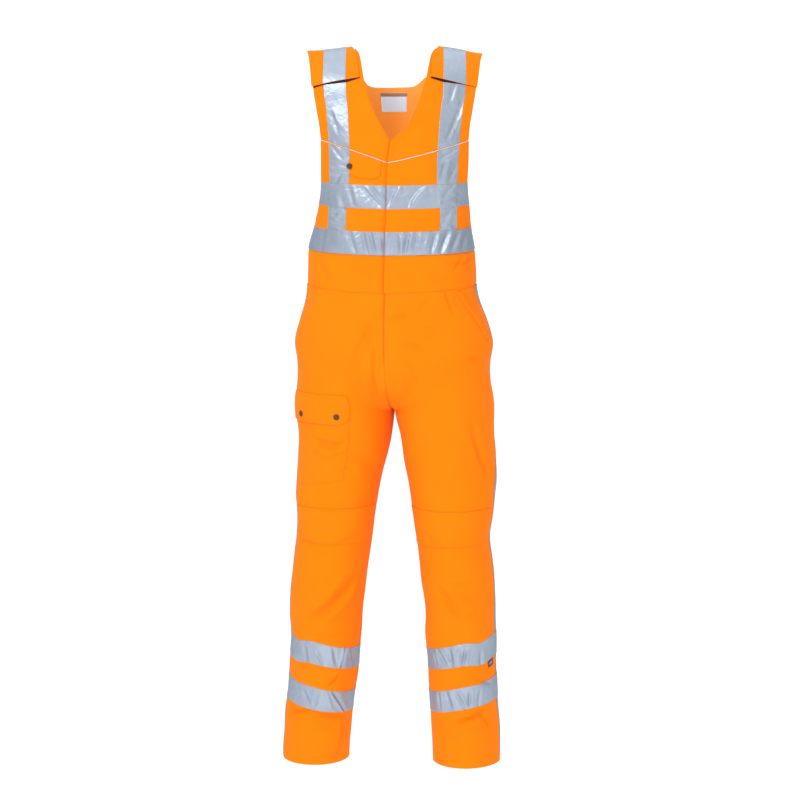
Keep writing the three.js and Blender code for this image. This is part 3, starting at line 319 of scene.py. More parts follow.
# Creases of the tapes alone, where the stiffer tape buckles on the cloth
CHEST_TAPE_CREASES = folds(
    (-80, -284, -68, -325, 5, 1.8, 0.7), (-52, -285, -12, -324, 4, 3, 0.8),
    (-32, -282, -5, -320, 4, 1.8, 0.7), (24, -282, 5, -324, 4, 3, 0.8, -2),
    (79, -282, 47, -324, 4.4, 3.4, 0.9, -5), (93, -283, 85, -305, 5, 1.4, 0.5),
)
WAIST_TAPE_CREASES = folds(
    (-80, -380, -64, -422, 6, 3.6, 0.6), (-50, -378, -38, -424, 4.8, 3.1, 0.8),
    (-33, -376, -22, -424, 4, 3.1, 0.9), (-14, -376, -10, -424, 4, -2.9), (6, -384, 2, -426, 4, -2.3),
    (22, -378, 26, -424, 4.4, 2.9, 0.7), (37, -378, 33, -424, 4, -2.6), (50, -376, 40, -424, 4, 3.4, 0.9),
    (68, -376, 60, -424, 4.2, 2.9, 0.8), (90, -378, 80, -424, 4, -2.6),
    (104, -380, 94, -424, 4, 3.4, 0.8), (128, -376, 112, -424, 4.6, 4.4, 0.9),
    (146, -378, 134, -420, 4.6, 3.4, 0.8), (-140, -378, -144, -420, 6, 1.6, 0.6),
    (158, -380, 152, -420, 5, 2.3, 0.6),
)
BRACE_CREASES = folds(
    # yokes
    (-122, -130, -105, -171, 4.5, 2.2, 0.8), (-110, -150, -97, -169, 4, 1.6, 0.6),
    (153, -102, 123, -185, 5, 2.8, 0.8, 2), (135, -71, 125, -111, 5, 1.8, 0.6),
    (150, -142, 133, -185, 4, 1.6, 0.6),
    # bib, on the right
    (-122, -197, -96, -225, 4, 2.4, 0.8), (-121, -247, -81, -254, 4, 1.6, 0.8),
    (-117, -237, -83, -244, 4, 1.2, 0.6), (-98, -257, -109, -279, 4, 1.6, 0.6),
    (-127, -334, -98, -356, 4, 1.8, 0.8), (-89, -331, -117, -347, 4, 1.6, 0.7),
    (-119, -364, -88, -372, 4, 1.4, 0.6),
    # bib, on the left
    (146, -204, 112, -224, 4.2, 2.8, 0.9), (122, -229, 112, -266, 4, 1.8, 0.6),
    (143, -240, 128, -271, 4, 2.1, 0.7), (140, -276, 118, -304, 4, 2.4, 0.8),
    (133, -305, 113, -321, 4, 1.9, 0.7), (143, -324, 117, -346, 4, 2.2, 0.8),
    (129, -342, 111, -371, 4, 2.1, 0.7), (142, -349, 134, -372, 4, 1.6, 0.6),
)
SHIN_TAPE_CREASES = {
    "r": folds(
        # upper tape
        (183, -1287, 167, -1331, 5, 3.9, 0.6), (145, -1298, 127, -1324, 4, 3.3, 0.6),
        (66, -1278, 77, -1325, 4, 5.1, 0.9), (47, -1284, 35, -1325, 4, 3, 0.5),
        (103, -1281, 92, -1317, 5, 2.7, 0.5), (206, -1290, 188, -1317, 4, -2.7),
        # lower tape
        (177, -1388, 150, -1420, 4.4, 3.9, 0.7), (94, -1379, 41, -1432, 4, 4.5, 0.8),
        (134, -1384, 139, -1418, 5, 2.7, 0.5), (113, -1377, 93, -1417, 5, -2.7),
        # behind
        (420, -1276, 440, -1328, 7, 3.9, 0.8), (350, -1276, 340, -1328, 7, 3, 0.7),
        (480, -1372, 470, -1424, 6, 3.3, 0.7), (380, -1372, 396, -1424, 7, 3.9, 0.8),
    ),
    "l": folds(
        # upper tape
        (91, -1275, 115, -1312, 4, 4.2, 0.8), (123, -1275, 129, -1320, 7, 5.7, 0.4),
        (167, -1283, 157, -1320, 4, 4.2, 0.8), (209, -1290, 206, -1328, 5, 3, 0.6),
        (75, -1280, 83, -1308, 4, 3, 0.6), (147, -1281, 147, -1318, 5, -3.3),
        # lower tape
        (107, -1371, 121, -1411, 6, 5.4, 0.5), (135, -1374, 159, -1418, 4, 3.6, 0.8),
        (172, -1382, 169, -1411, 4, 4.2, 0.7), (201, -1382, 193, -1414, 4, 3.3, 0.6),
        (85, -1372, 87, -1406, 4, 2.7, 0.6),
        # behind
        (410, -1276, 430, -1328, 7, 3.9, 0.8), (346, -1276, 338, -1328, 7, 3, 0.7),
        (476, -1372, 466, -1424, 6, 3.3, 0.7), (376, -1372, 392, -1424, 7, 3.9, 0.8),
    ),
}
# Creases of the tapes of the back, by x and height
BACK_TAPE_CREASES = folds(
    (-96, -282, -84, -326, 5, 2, 0.8), (-40, -284, -52, -326, 5, 2.4, 0.8),
    (14, -282, 2, -326, 6, 1.8, 0.7), (58, -284, 70, -322, 5, 2.2, 0.8),
    (-118, -378, -108, -424, 5, 2, 0.8), (-62, -376, -70, -424, 5, 2.4, 0.8),
    (-20, -378, -12, -424, 4, 2, 0.8), (34, -376, 26, -424, 5, 2.4, 0.8), (88, -378, 98, -424, 5, 2, 0.7),
    (-100, -150, -84, -186, 6, 1.8, 0.6), (96, -196, 112, -232, 6, 1.8, 0.6),
)
# Folds of the thigh pocket, placed as those of the legs
POCKET_FOLDS = folds(
    (185, -830, 130, -839, 7, 6, 0.2, 2), (179, -847, 133, -848, 8, -5.7, 0, 10),
    (146, -827, 127, -824, 5, -3.6), (140, -884, 113, -884, 2.6, -2.3),
    (212, -880, 150, -886, 11, 2.1, 0.5), (160, -905, 210, -900, 12, 1.8, 0.5),
)


FOLD_END = 0.3  # depth of a fold at its ends, as a share of that in its middle
LIP_AT = 1.6  # widths from the middle of a fold to its ridge


def fold_depth(lines, a, b):
    """Depth of all folds at the places (a, b)."""
    depth = np.zeros(np.shape(a))
    for f in lines:
        da, db = f.to_a - f.a, f.to_b - f.b
        length = math.hypot(da, db)
        along = ((a - f.a) * da + (b - f.b) * db) / length
        t = np.clip(along / length, 0, 1)
        past = along - t * length
        across = ((b - f.b) * da - (a - f.a) * db) / length - f.bow * 4 * t * (1 - t)
        fade = np.exp(-((past / f.wide) ** 2)) * (FOLD_END + (1 - FOLD_END) * np.sin(math.pi * t) ** 0.6)
        across = across / f.wide
        depth += f.depth * fade * (np.exp(-(across**2)) - f.lip * np.exp(-((across - LIP_AT) ** 2)))
    return depth


RIPPLES = np.random.default_rng(11).normal(size=(16, 3))
RIPPLES /= np.linalg.norm(RIPPLES, axis=1)[:, None]
RIPPLE_LENGTHS = np.linspace(62, 230, len(RIPPLES))
RIPPLE_HEIGHT = 0.28
RIPPLE_PHASE = 1.7  # turn of each wave from the one before


def ripple(points):
    """Small unevenness of soft cloth, the same for every piece at one place."""
    waves = points @ RIPPLES.T * (2 * math.pi / RIPPLE_LENGTHS) + np.arange(len(RIPPLES)) * RIPPLE_PHASE
    return RIPPLE_HEIGHT * np.sin(waves).sum(-1)


# ---------------------------------------------------------------- the garment's form
def bend(t, power):
    """t to a power, with its sign kept."""
    return np.sign(t) * np.abs(t) ** power


def section(z):
    """Sizes of the body's section at a height."""
    return SimpleNamespace(**{name: read(SECTIONS, name, z) for name in SECTIONS if name != "z"})


def torso(face, angle, v):
    """Point of the upper body: face -1 front, 1 back; above -DOME it lies on the shoulder arch."""
    s = section(np.minimum(v, -DOME))
    x = s.half * bend(np.sin(angle), 2 / ROUND)
    across = bend(np.cos(angle), 2 / ROUND)
    tip = np.maximum(v, -DOME) / DOME * (math.pi / 2) * -face
    fall = np.where(x < 0, SHOULDER_SLOPE["r"], SHOULDER_SLOPE["l"])
    top = SHOULDER_TOP - fall * (np.abs(x) - NECK_END)
    deep = np.where(np.sin(tip) < 0, s.front, s.back) * across
    arch_y = SHOULDER_BACK * np.cos(tip) * across + deep * np.sin(tip)
    arch_z = top - (top + DOME) * (1 - np.cos(tip))
    below = v <= -DOME
    y = np.where(below, face * (s.front if face < 0 else s.back) * across, arch_y)
    z = np.where(below, v, arch_z)
    cos, sin = np.cos(np.radians(s.turn)), np.sin(np.radians(s.turn))
    return np.stack([s.mid + x * cos - y * sin, x * sin + y * cos, z], -1)


def angle_at(x, v):
    """Angle round the section of a place x from its middle."""
    share = np.clip(np.abs(x) / section(np.minimum(v, -DOME)).half, 0, 1) ** (ROUND / 2)
    return np.sign(x) * np.minimum(np.arcsin(share), SIDE)


def trouser(leg, around, v):
    """Point of one half of the trousers: around 0 centre front or inner leg, 0.5 side, 1 back."""
    side = SIDES[leg]
    turn = around * math.pi
    outer = -np.cos(2 * turn)
    sag = read(LEGS, "sag", v) * np.exp(-(((outer - SAG_MIDDLE) / SAG_WIDE) ** 2))
    rise = np.where(v < CLIMB_FROM, read(LEGS, "climb", v) * outer - sag, 0)
    hang = HEM_DROP[leg] * np.clip((HANG_FROM - v) / (HANG_FROM - HEM), 0, 1)
    z = v + rise - hang
    drop = np.clip((RISE_TOP - v) / (RISE_TOP - CROTCH), 0, 1)
    fork = np.clip((FORK_TOP - v) / (FORK_TOP - CROTCH), 0, 1)
    curve = 1 - np.sqrt(1 - drop * drop)
    beside = np.cos(turn) ** 16  # 1 in the middle of front and back, nearly 0 away from it
    # from 0 on the hips to 1 on the leg, later and faster in the middle than at the side
    whole = fork**3.2 * (3 - 2 * fork**1.6) * (1 - beside) + curve * beside
    s = section(np.maximum(v, SECTIONS["z"][0]))
    deep = np.where(np.cos(turn) > 0, s.front, s.back)
    hip_x = side * s.half * bend(np.sin(turn), 2 / ROUND) + s.mid * np.abs(np.sin(turn))
    hip_y = -deep * bend(np.cos(turn), 2 / ROUND)
    low = np.clip(z, HEM, FORK_TOP)
    leg_x = side * (read(LEGS, "mid_" + leg, low) - read(LEGS, "half_" + leg, low) * np.cos(2 * turn))
    leg_y = read(LEGS, "mid_y", low) - read(LEGS, "deep", low) * np.sin(2 * turn)
    free = (HALF_CENTRE + HALF_SEAM) * (1 - (1 - whole) ** 2)
    x = side * np.maximum(side * (hip_x + (leg_x - hip_x) * whole), free)
    return np.stack([x, hip_y + (leg_y - hip_y) * whole, z], -1)


# ---------------------------------------------------------------- nets: the seams' own coordinates
def net(place, sign, lines):
    """A surface by row and column. place gives points and the two fold coordinates; sign turns its
    normals outward; the result gives creased points and normals."""
    def at(i, j):
        step = 0.02
        i, j = np.broadcast_arrays(np.asarray(i, float), np.asarray(j, float))
        points, a, b = place(i, j)
        down = place(i + step, j)[0] - place(i - step, j)[0]
        over = place(i, j + step)[0] - place(i, j - step)[0]
        normal = np.cross(over, down) * sign
        normal /= np.maximum(np.linalg.norm(normal, axis=-1, keepdims=True), 1e-12)
        depth = fold_depth(lines, a, b) - ripple(points)
        return points - normal * depth[..., None], normal, a, b
    return at


def limits(place, rows, cols):
    """The same place function with rows and columns kept inside the piece."""
    return lambda i, j: place(np.clip(i, *rows), np.clip(j, *cols))


def closing(v, angle, edge=SIDE):
    """Edge angle that runs into the side seam below the armhole."""
    t = np.clip((v - UNDERARM[0]) / (UNDERARM[1] - UNDERARM[0]), 0, 1)
    return edge + (angle - edge) * t * t * (3 - 2 * t)


def front_net(leg, rows):
    """Net of the bib or the yoke of one front."""
    side = SIDES[leg]
    steep = np.where(rows["out"] - rows["inner"] > SAG_FROM, PIPING_BEND[leg], 1.0)

    def place(i, j):
        out = np.interp(i, rows["row"], rows["out"])
        inner = np.interp(i, rows["row"], rows["inner"])
        sag = np.interp(i, rows["row"], steep)
        brace_v = out + (inner - out) * TAPE_OUT / LAST
        brace = read(BRACE, leg, brace_v)
        middle = np.where(inner <= NECK_FROM, read(CENTRE, "x", inner) + side * HALF_SEAM,
                          read(NECK, leg, inner))
        edge = closing(out, angle_at(side * read(FRONT_EDGE, "out", out), out), side * SIDE)
        spots = [edge, angle_at(side * (brace + read(BRACE, "wide_" + leg, out)), out),
                 angle_at(side * brace, brace_v), angle_at(middle, inner)]
        angle = spots[0]
        for k in range(3):
            share = np.clip((j - FRONT_COLUMNS[k]) / (FRONT_COLUMNS[k + 1] - FRONT_COLUMNS[k]), 0, 1)
            angle = angle + (spots[k + 1] - spots[k]) * share
        t = np.clip((angle - spots[0]) / (spots[3] - spots[0]), 0, 1)
        points = torso(-1, angle, out + (inner - out) * t**sag)
        return points, points[..., 0], points[..., 2]

    return net(limits(place, (0, rows["row"][-1]), (0, LAST)), -side,
               FRONT_FOLDS + CHEST_TAPE_CREASES + WAIST_TAPE_CREASES + BRACE_CREASES)


def strap_net(leg):
    """Net of one shoulder strap."""
    side = SIDES[leg]

    def place(i, j):
        out = np.interp(i, STRAP_ROWS["row"], STRAP_ROWS["out"])
        inner = np.interp(i, STRAP_ROWS["row"], STRAP_ROWS["inner"])
        tape = read(STRAP, "tape", (out + inner) / 2)
        spots = [angle_at(side * x, -DOME) for x in
                 (read(STRAP, "out", out), tape + BRACE_TAPE, tape, read(STRAP, leg, inner))]
        angle = spots[0]
        for k, (first, last) in enumerate(((0, 2), (2, 4), (4, 5))):
            angle = angle + (spots[k + 1] - spots[k]) * np.clip((j - first) / (last - first), 0, 1)
        t = (angle - spots[0]) / (spots[3] - spots[0])
        v = out + (inner - out) * t
        front, back = torso(-1, angle, np.minimum(v, 0)), torso(1, angle, -np.maximum(v, 0))
        points = np.where((v <= 0)[..., None], front, back)
        return points, points[..., 0], points[..., 2]

    return net(limits(place, (0, 12), (0, 5)), -side, [])


def back_place(i, j):
    """Places of the back bodice: column 7 is its middle."""
    v = np.interp(i, range(len(BACK_ROWS) + 1), (*BACK_ROWS, -75))
    tape = read(BACK, "tape", v)
    out = closing(v, angle_at(read(BACK, "out", v), v))
    spots = [np.zeros_like(v), angle_at(tape, v), angle_at(tape + BRACE_TAPE, v), out]
    angle = spots[0]
    for k, (first, last) in enumerate(((0, 3), (3, 5), (5, 7))):
        share = np.clip((np.abs(j - 7) - first) / (last - first), 0, 1)
        angle = angle + (spots[k + 1] - spots[k]) * share
    angle = angle * np.sign(j - 7)
    x = section(-DOME).half * bend(np.sin(angle), 2 / ROUND)
    top = np.where(x < 0, read(NECKLINE, "r", np.abs(x)), read(NECKLINE, "l", np.abs(x)))
    last = len(BACK_ROWS) - 1
    v = np.where(i > last, BACK_ROWS[-1] + (top - BACK_ROWS[-1]) * (i - last), v)
    points = torso(1, angle, v)
    return points, points[..., 0], points[..., 2]


def band_net(leg):
    """Net of the waistband of one front."""
    side = SIDES[leg]

    def place(i, j):
        out = np.interp(i, BAND_ROWS["row"], BAND_ROWS["out"])
        inner = np.interp(i, BAND_ROWS["row"], BAND_ROWS["inner"])
        t = j / 10
        middle = angle_at(read(CENTRE, "x", inner) + side * HALF_SEAM, inner)
        points = torso(-1, side * SIDE + (middle - side * SIDE) * t, out + (inner - out) * t)
        return points, points[..., 0], points[..., 2]

    return net(limits(place, (0, 2), (0, 10)), side, FRONT_FOLDS)


def band_back_place(i, j):
    """Places of the waistband of the back."""
    points = torso(1, -SIDE + 2 * SIDE * j / 16, np.interp(i, BAND_ROWS["row"], BAND_ROWS["out"]))
    return points, points[..., 0], points[..., 2]


WIDEST_SHARE, HALVINGS = 0.12, 24  # where the search for half a tape starts, and its steps


def side_shares(leg, sign):
    """For each row, the share of the ring that is half a tape away from the side seam."""
    rows = rows_of(leg)
    middle = read(SIDE_SEAM, leg, rows)
    seam = trouser(leg, middle, rows)
    low, high = np.zeros(len(rows)), np.full(len(rows), WIDEST_SHARE)
    for _ in range(HALVINGS):
        mid = (low + high) / 2
        near = np.linalg.norm(trouser(leg, middle + sign * mid, rows) - seam, axis=1) < TAPE / 2
        low, high = np.where(near, mid, low), np.where(near, high, mid)
    return middle + sign * low


def ring_columns(leg):
    """Share of the ring at every row and column of a leg's net."""
    middle = read(SIDE_SEAM, leg, rows_of(leg))

    def yielding(shares):
        return [share + GIVE.get(share, 0) * (middle - 0.5) for share in shares]
    return np.stack([*yielding(FRONT_SHARES), side_shares(leg, -1), middle, side_shares(leg, 1),
                     *yielding(REAR_SHARES)], -1)


WAIST_FALL = 10  # how much lower the waist seam is at the centre front than at the side


def leg_net(leg):
    """Net of one leg, from its front edge round to its back edge."""
    columns = ring_columns(leg)
    rows, numbers = rows_of(leg), range(len(TROUSER_ROWS))

    def place(i, j):
        v = np.interp(i, numbers, rows)
        spots = [np.interp(i, numbers, columns[:, k]) for k in range(columns.shape[1])]
        around = np.zeros(np.shape(j)) + spots[0]
        for k in range(LAST_COLUMN):
            around = around + (spots[k + 1] - spots[k]) * np.clip(j - k, 0, 1)
        v = v - WAIST_FALL * np.maximum(0, 1 - 2 * around) * np.clip(1 - i, 0, 1)
        return trouser(leg, around, v), around * FOLD_GIRTH, v

    return net(limits(place, (0, LAST_ROW), (0, LAST_COLUMN)), -SIDES[leg],
               LEG_FOLDS[leg] + SHIN_TAPE_CREASES[leg])


NETS = {
    **{"bib_" + leg: front_net(leg, BIB_ROWS) for leg in SIDES},
    **{"yoke_" + leg: front_net(leg, YOKE_ROWS) for leg in SIDES},
    **{"strap_" + leg: strap_net(leg) for leg in SIDES},
    **{"band_" + leg: band_net(leg) for leg in SIDES},
    **{"leg_" + leg: leg_net(leg) for leg in SIDES},
    "back": net(limits(back_place, (0, 13), (0, 14)), -1, BACK_FOLDS + BACK_TAPE_CREASES),
    "band_back": net(limits(band_back_place, (0, 2), (0, 16)), 1, BACK_FOLDS),
}


# ---------------------------------------------------------------- making walls of cloth
LAID = {}  # outer faces of the cloth already made, which the stitching follows


def lines(first, last, count):
    """Grid lines from first to last, closer together beside both ends."""
    even = np.linspace(first, last, count)
    extra = (even[1] - even[0]) * np.array([0.25, 0.6])
    return np.sort(np.concatenate([even, first + extra, last - extra]))


def grid(rows, cols):
    """Rows and columns as two arrays of the grid."""
    return np.meshgrid(rows, cols, indexing="ij")


def borders(points):
    """Distances along the cloth from its four edges, in millimetres."""
    down = np.linalg.norm(np.diff(points, axis=0), axis=-1)
    over = np.linalg.norm(np.diff(points, axis=1), axis=-1)
    down = np.concatenate([np.zeros((1, points.shape[1])), down.cumsum(0)])
    over = np.concatenate([np.zeros((points.shape[0], 1)), over.cumsum(1)], axis=1)
    return SimpleNamespace(start=down, end=down[-1:] - down, left=over, right=over[:, -1:] - over)


SEAM_DEPTH, SEAM_WIDE = 1.2, 2.3  # how far a sewn edge dips, and how far from the edge
HEM_BLUR = 0.9  # how soon the doubled cloth of a hem ends


def dip(distance):
    """A seam's edge turned in."""
    return -SEAM_DEPTH * np.exp(-((distance / SEAM_WIDE) ** 2))


def within(distance, width):
    """1 nearer the edge than width, 0 beyond it: the doubled cloth of a hem."""
    return 0.5 - 0.5 * np.tanh((distance - width) / HEM_BLUR)


def mesh_object(name, vertices, faces, materials, uv=None, second_from=None, flat=False):
    """A new object from points in millimetres, its faces turned outward. The faces between the two
    numbers of second_from take the second material."""
    vertices = np.asarray(vertices, float)
    corner = vertices[[f[0] for f in faces]]
    volume = 0.0
    for k in (1, 2):
        near, far = vertices[[f[k] for f in faces]], vertices[[f[(k + 1) % len(f)] for f in faces]]
        volume += (corner * np.cross(near, far)).sum()
    if volume < 0:
        faces = [tuple(reversed(f)) for f in faces]
    mesh = bpy.data.meshes.new(name)
    mesh.from_pydata((vertices * MM).tolist(), [], faces)
    for material in materials:
        mesh.materials.append(material)
    mesh.polygons.foreach_set("use_smooth", [not flat] * len(mesh.polygons))
    if second_from is not None:
        numbers = np.zeros(len(mesh.polygons), int)
        numbers[second_from[0]:second_from[1]] = 1
        mesh.polygons.foreach_set("material_index", numbers)
    if uv is not None:
        layer = mesh.uv_layers.new(name=UV_NAME)
        corners = np.empty(len(mesh.loops), int)
        mesh.loops.foreach_get("vertex_index", corners)
        layer.uv.foreach_set("vector", (np.asarray(uv, float)[corners] * MM).astype(np.float32).ravel())
    mesh.update()
    piece = bpy.data.objects.new(name, mesh)
    bpy.context.scene.collection.objects.link(piece)
    return piece


EDGE_BULGE = 0.35  # how far a cut edge is rounded, as a share of the thickness


def wall(name, at, i, j, material, reverse=None, lift=0.0, thick=1.1, shape=None, ring=False,
         stands_in=True, slot="fluorescent_twill"):
    """A thin wall of cloth over the places (i, j) of a net. shape adds lift and thickness, from the
    places, the fold coordinates and the distances to the edges. ring closes the last column to the
    first; stands_in is False for a piece that the model in CAD lacks."""
    base, normal, a, b = at(i, j)
    d = borders(base)
    more_lift, more_thick = shape(SimpleNamespace(i=i, j=j, a=a, b=b, d=d)) if shape else (0.0, 0.0)
    up = np.broadcast_to(lift + more_lift, i.shape)[..., None]
    half = np.broadcast_to((thick + more_thick) / 2, i.shape)[..., None]
    outer, inner = base + normal * (up + half), base + normal * (up - half)
    LAID[name] = SimpleNamespace(outer=outer, normal=normal, d=borders(outer), i=i, j=j)
    rows, cols = i.shape
    number = np.arange(rows * cols).reshape(rows, cols)
    if ring:
        number = np.concatenate([number, number[:, :1]], axis=1)
    faces = []

    def quads(p, q, r, s):
        faces.extend(np.stack([p, q, r, s], -1).reshape(-1, 4).tolist())

    quads(number[:-1, :-1], number[:-1, 1:], number[1:, 1:], number[1:, :-1])
    inside = number + rows * cols
    first = len(faces)
    quads(inside[:-1, :-1], inside[1:, :-1], inside[1:, 1:], inside[:-1, 1:])
    second = (first, len(faces))
    points = [outer.reshape(-1, 3), inner.reshape(-1, 3)]
    u, v = d.left - d.left.mean(), d.start
    places = [np.stack([u, v], -1).reshape(-1, 2)] * 2
    edges = [(number[0], inside[0], outer[0], inner[0], outer[1], True),
             (number[-1], inside[-1], outer[-1], inner[-1], outer[-2], False)]
    if not ring:
        edges += [(number[:, 0], inside[:, 0], outer[:, 0], inner[:, 0], outer[:, 1], False),
                  (number[:, -1], inside[:, -1], outer[:, -1], inner[:, -1], outer[:, -2], True)]
    total = 2 * rows * cols
    for up_row, low_row, p, q, inward, turned in edges:
        away = p - inward
        away /= np.maximum(np.linalg.norm(away, axis=-1, keepdims=True), 1e-9)
        bulge = (p + q) / 2 + away * np.linalg.norm(p - q, axis=-1, keepdims=True) * EDGE_BULGE
        count = len(bulge)
        middle = total + np.arange(count)
        if ring:
            middle = np.append(middle, middle[0])
        for one, two in ((up_row, middle), (middle, low_row)):
            one, two = (one, two) if turned else (two, one)
            quads(one[:-1], two[:-1], two[1:], one[1:])
        points.append(bulge)
        places.append(places[0][np.asarray(up_row)[:count] % (rows * cols)])
        total += count
    materials = [material] + ([reverse] if reverse else [])
    piece = mesh_object(name, np.concatenate(points), faces, materials, np.concatenate(places),
                        second if reverse else None)
    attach(piece, BODY)
    if stands_in:
        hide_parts(name)
    return piece


# ---------------------------------------------------------------- materials
def linear(code):
    """Linear red, green, blue and 1 from an sRGB hex code."""
    channels = [int(code[k:k + 2], 16) / 255 for k in (1, 3, 5)]
    return [c / 12.92 if c <= 0.04045 else ((c + 0.055) / 1.055) ** 2.4 for c in channels] + [1.0]


def node(tree, kind, inputs=(), **settings):
    """Adds a shader node; inputs are (socket, value or source socket) pairs."""
    made = tree.nodes.new(kind)
    for name, value in settings.items():
        setattr(made, name, value)
    for key, value in inputs:
        if isinstance(value, bpy.types.NodeSocket):
            tree.links.new(value, made.inputs[key])
        else:
            made.inputs[key].default_value = value
    return made


def material(name, colour, roughness, relief=None, vary=0.0, vary_mm=60, **constants):
    """A Principled material. relief makes a height from the tree and gives (height, strength,
    distance in mm); vary is the share by which the colour wanders over vary_mm."""
    made = bpy.data.materials.new(name)
    made.use_nodes = True
    tree = made.node_tree
    shader = next(n for n in tree.nodes if n.type == "BSDF_PRINCIPLED")
    shader.inputs["Base Color"].default_value = colour
    shader.inputs["Roughness"].default_value = roughness
    for key, value in constants.items():
        shader.inputs[key.replace("_", " ").title().replace("Ior", "IOR")].default_value = value
    if vary:
        place = node(tree, "ShaderNodeTexCoord").outputs["Object"]
        cloud = node(tree, "ShaderNodeTexNoise",
                     [("Vector", place), ("Scale", 1000 / vary_mm), ("Detail", 3.0)])
        shade = node(tree, "ShaderNodeMapRange",
                     [("Value", cloud.outputs[0]), ("From Min", 0.25), ("From Max", 0.75),
                      ("To Min", 1 - vary), ("To Max", 1 + vary)])
        tint = node(tree, "ShaderNodeMix", [("Factor", 1.0), (6, colour), (7, shade.outputs[0])],
                    data_type="RGBA", blend_type="MULTIPLY")
        tree.links.new(tint.outputs[2], shader.inputs["Base Color"])
    if relief:
        height, strength, depth = relief(tree)
        bump = node(tree, "ShaderNodeBump",
                    [("Strength", strength), ("Distance", depth * MM), ("Height", height)])
        tree.links.new(bump.outputs[0], shader.inputs["Normal"])
    return made


ONE_BAND = 0.31  # scale of the wave texture that makes one band to each unit of length
TWILL_PITCH, TWILL_SLANT = 0.9, 63  # the cloth's ribs are 0.45 mm apart: too fine at the size seen
BEAD_GRAIN, CRINKLE, CRINKLE_SHARE = 1.2, 16, 22  # the crinkles count that many times the grain


def twill(tree):
    """Diagonal ribs of a 2/1 twill, by their pitch in mm and their slant in degrees."""
    place = node(tree, "ShaderNodeUVMap", uv_map=UV_NAME).outputs[0]
    rib = node(tree, "ShaderNodeMapping",
               [("Vector", place), ("Rotation", (0, 0, math.radians(TWILL_SLANT))),
                ("Scale", (1000 / TWILL_PITCH, 1000 / TWILL_PITCH, 1))])
    ribs = node(tree, "ShaderNodeTexWave",
                [("Vector", rib.outputs[0]), ("Scale", ONE_BAND), ("Distortion", 0.6),
                 ("Detail", 1.0), ("Detail Scale", 0.4)])
    return ribs.outputs["Fac"], 0.35, 0.18


def beads(tree):
    """Glass beads of the tape, far too small to see singly: a coarser grain stands for them, on
    shallow crinkles."""
    place = node(tree, "ShaderNodeUVMap", uv_map=UV_NAME).outputs[0]
    grain = node(tree, "ShaderNodeTexNoise",
                 [("Vector", place), ("Scale", 1000 / BEAD_GRAIN), ("Detail", 2.0)])
    crinkle = node(tree, "ShaderNodeTexNoise",
                   [("Vector", place), ("Scale", 1000 / CRINKLE), ("Detail", 2.0), ("Distortion", 1.2)])
    both = node(tree, "ShaderNodeMath",
                [(0, crinkle.outputs[0]), (1, CRINKLE_SHARE), (2, grain.outputs[0])],
                operation="MULTIPLY_ADD")
    return both.outputs[0], 0.6, 0.1


def ribbing(pitch, strength):
    """Fine cross ribs of satin, cord and woven tags, by their pitch in mm."""
    def relief(tree):
        place = node(tree, "ShaderNodeUVMap", uv_map=UV_NAME).outputs[0]
        scaled = node(tree, "ShaderNodeMapping",
                      [("Vector", place), ("Scale", (1000 / pitch, 1000 / pitch, 1))])
        wave = node(tree, "ShaderNodeTexWave",
                    [("Vector", scaled.outputs[0]), ("Scale", ONE_BAND)], bands_direction="Y")
        return wave.outputs["Fac"], strength, 0.12
    return relief


MATERIALS = {
    # the warm saturated orange of the garment: dull, with a little bloom of loose fibres
    "orange_twill": lambda p: material("orange_twill", p.twill, 0.86, twill, 0.035, Sheen_Weight=0.02,
                                       Sheen_Roughness=0.5, Specular_IOR_Level=0.06, IOR=1.5),
    # the paler reverse of the same cloth, seen inside the neck and the hems, with a painted glow added to
    # brighten it where too little light reaches inside
    "twill_reverse": lambda p: material("twill_reverse", p.reverse, 0.9, twill, 0.03,
                                        Specular_IOR_Level=0.2, IOR=1.5,
                                        Emission_Color=p.reverse_painted_glow, Emission_Strength=0.13),
    # the cool grey sheen of tape coated with glass beads, darker where it is seen from the side
    "bead_tape": lambda p: material("bead_tape", p.tape, 0.43, beads, 0.05, 18, Metallic=0.55,
                                    Specular_IOR_Level=0.35, Specular_Tint=p.tape_rim, IOR=1.5),
    # the thin pale line round the chest
    "pale_cord": lambda p: material("pale_cord", p.piping, 0.7, ribbing(1.0, 0.3), IOR=1.5),
    # small dark caps, a little uneven in tone
    "antique_brass": lambda p: material("antique_brass", p.brass, 0.38, None, 0.12, 6, Metallic=0.85),
    # the pale shiny label inside the neck; its colour is made cooler than its own and a cool glow is
    # painted on it, both to cancel the orange light bounced onto it from the cloth round it
    "pale_satin": lambda p: material("pale_satin", p.label, 0.4, ribbing(0.8, 0.15), Sheen_Weight=0.1,
                                     IOR=1.5, Emission_Color=p.label_painted_glow, Emission_Strength=0.3),
    # the dull woven ground of the small tag
    "maroon_weave": lambda p: material("maroon_weave", p.tag, 0.75, ribbing(0.8, 0.3), IOR=1.5),
    # the label's woven top band, with a darker thread
    "label_band": lambda p: material("label_band", p.label_band, 0.7, ribbing(0.8, 0.3), IOR=1.5),
    # the tag's paler plain middle
    "tag_face": lambda p: material("tag_face", p.tag_face, 0.7, ribbing(0.8, 0.3), IOR=1.5),
    # nearly black strip that paints the shadow under the straps' ends, seen only as an edge
    "dark_lining": lambda p: material("dark_lining", p.lining, 0.9, ribbing(0.8, 0.2), IOR=1.5),
    # sewing thread, a shade deeper than the cloth and a shade deeper than the tape
    "thread_orange": lambda p: material("thread_orange", p.thread, 0.6, IOR=1.5),
    "thread_grey": lambda p: material("thread_grey", p.thread_grey, 0.6, IOR=1.5),
    # the plain pale floor
    "floor": lambda p: material("floor", p.floor, 0.9, Specular_IOR_Level=0.1),
}


def finish_of(name):
    """The material of that name, made when first asked for."""
    return bpy.data.materials.get(name) or MATERIALS[name](bpy.context.scene.overalls_colours)


# ---------------------------------------------------------------- cloth pieces
OUTER = 0.8  # from a net to the outer face of the cloth
TAPE_CLEAR = 0.2  # from there to the back of a tape


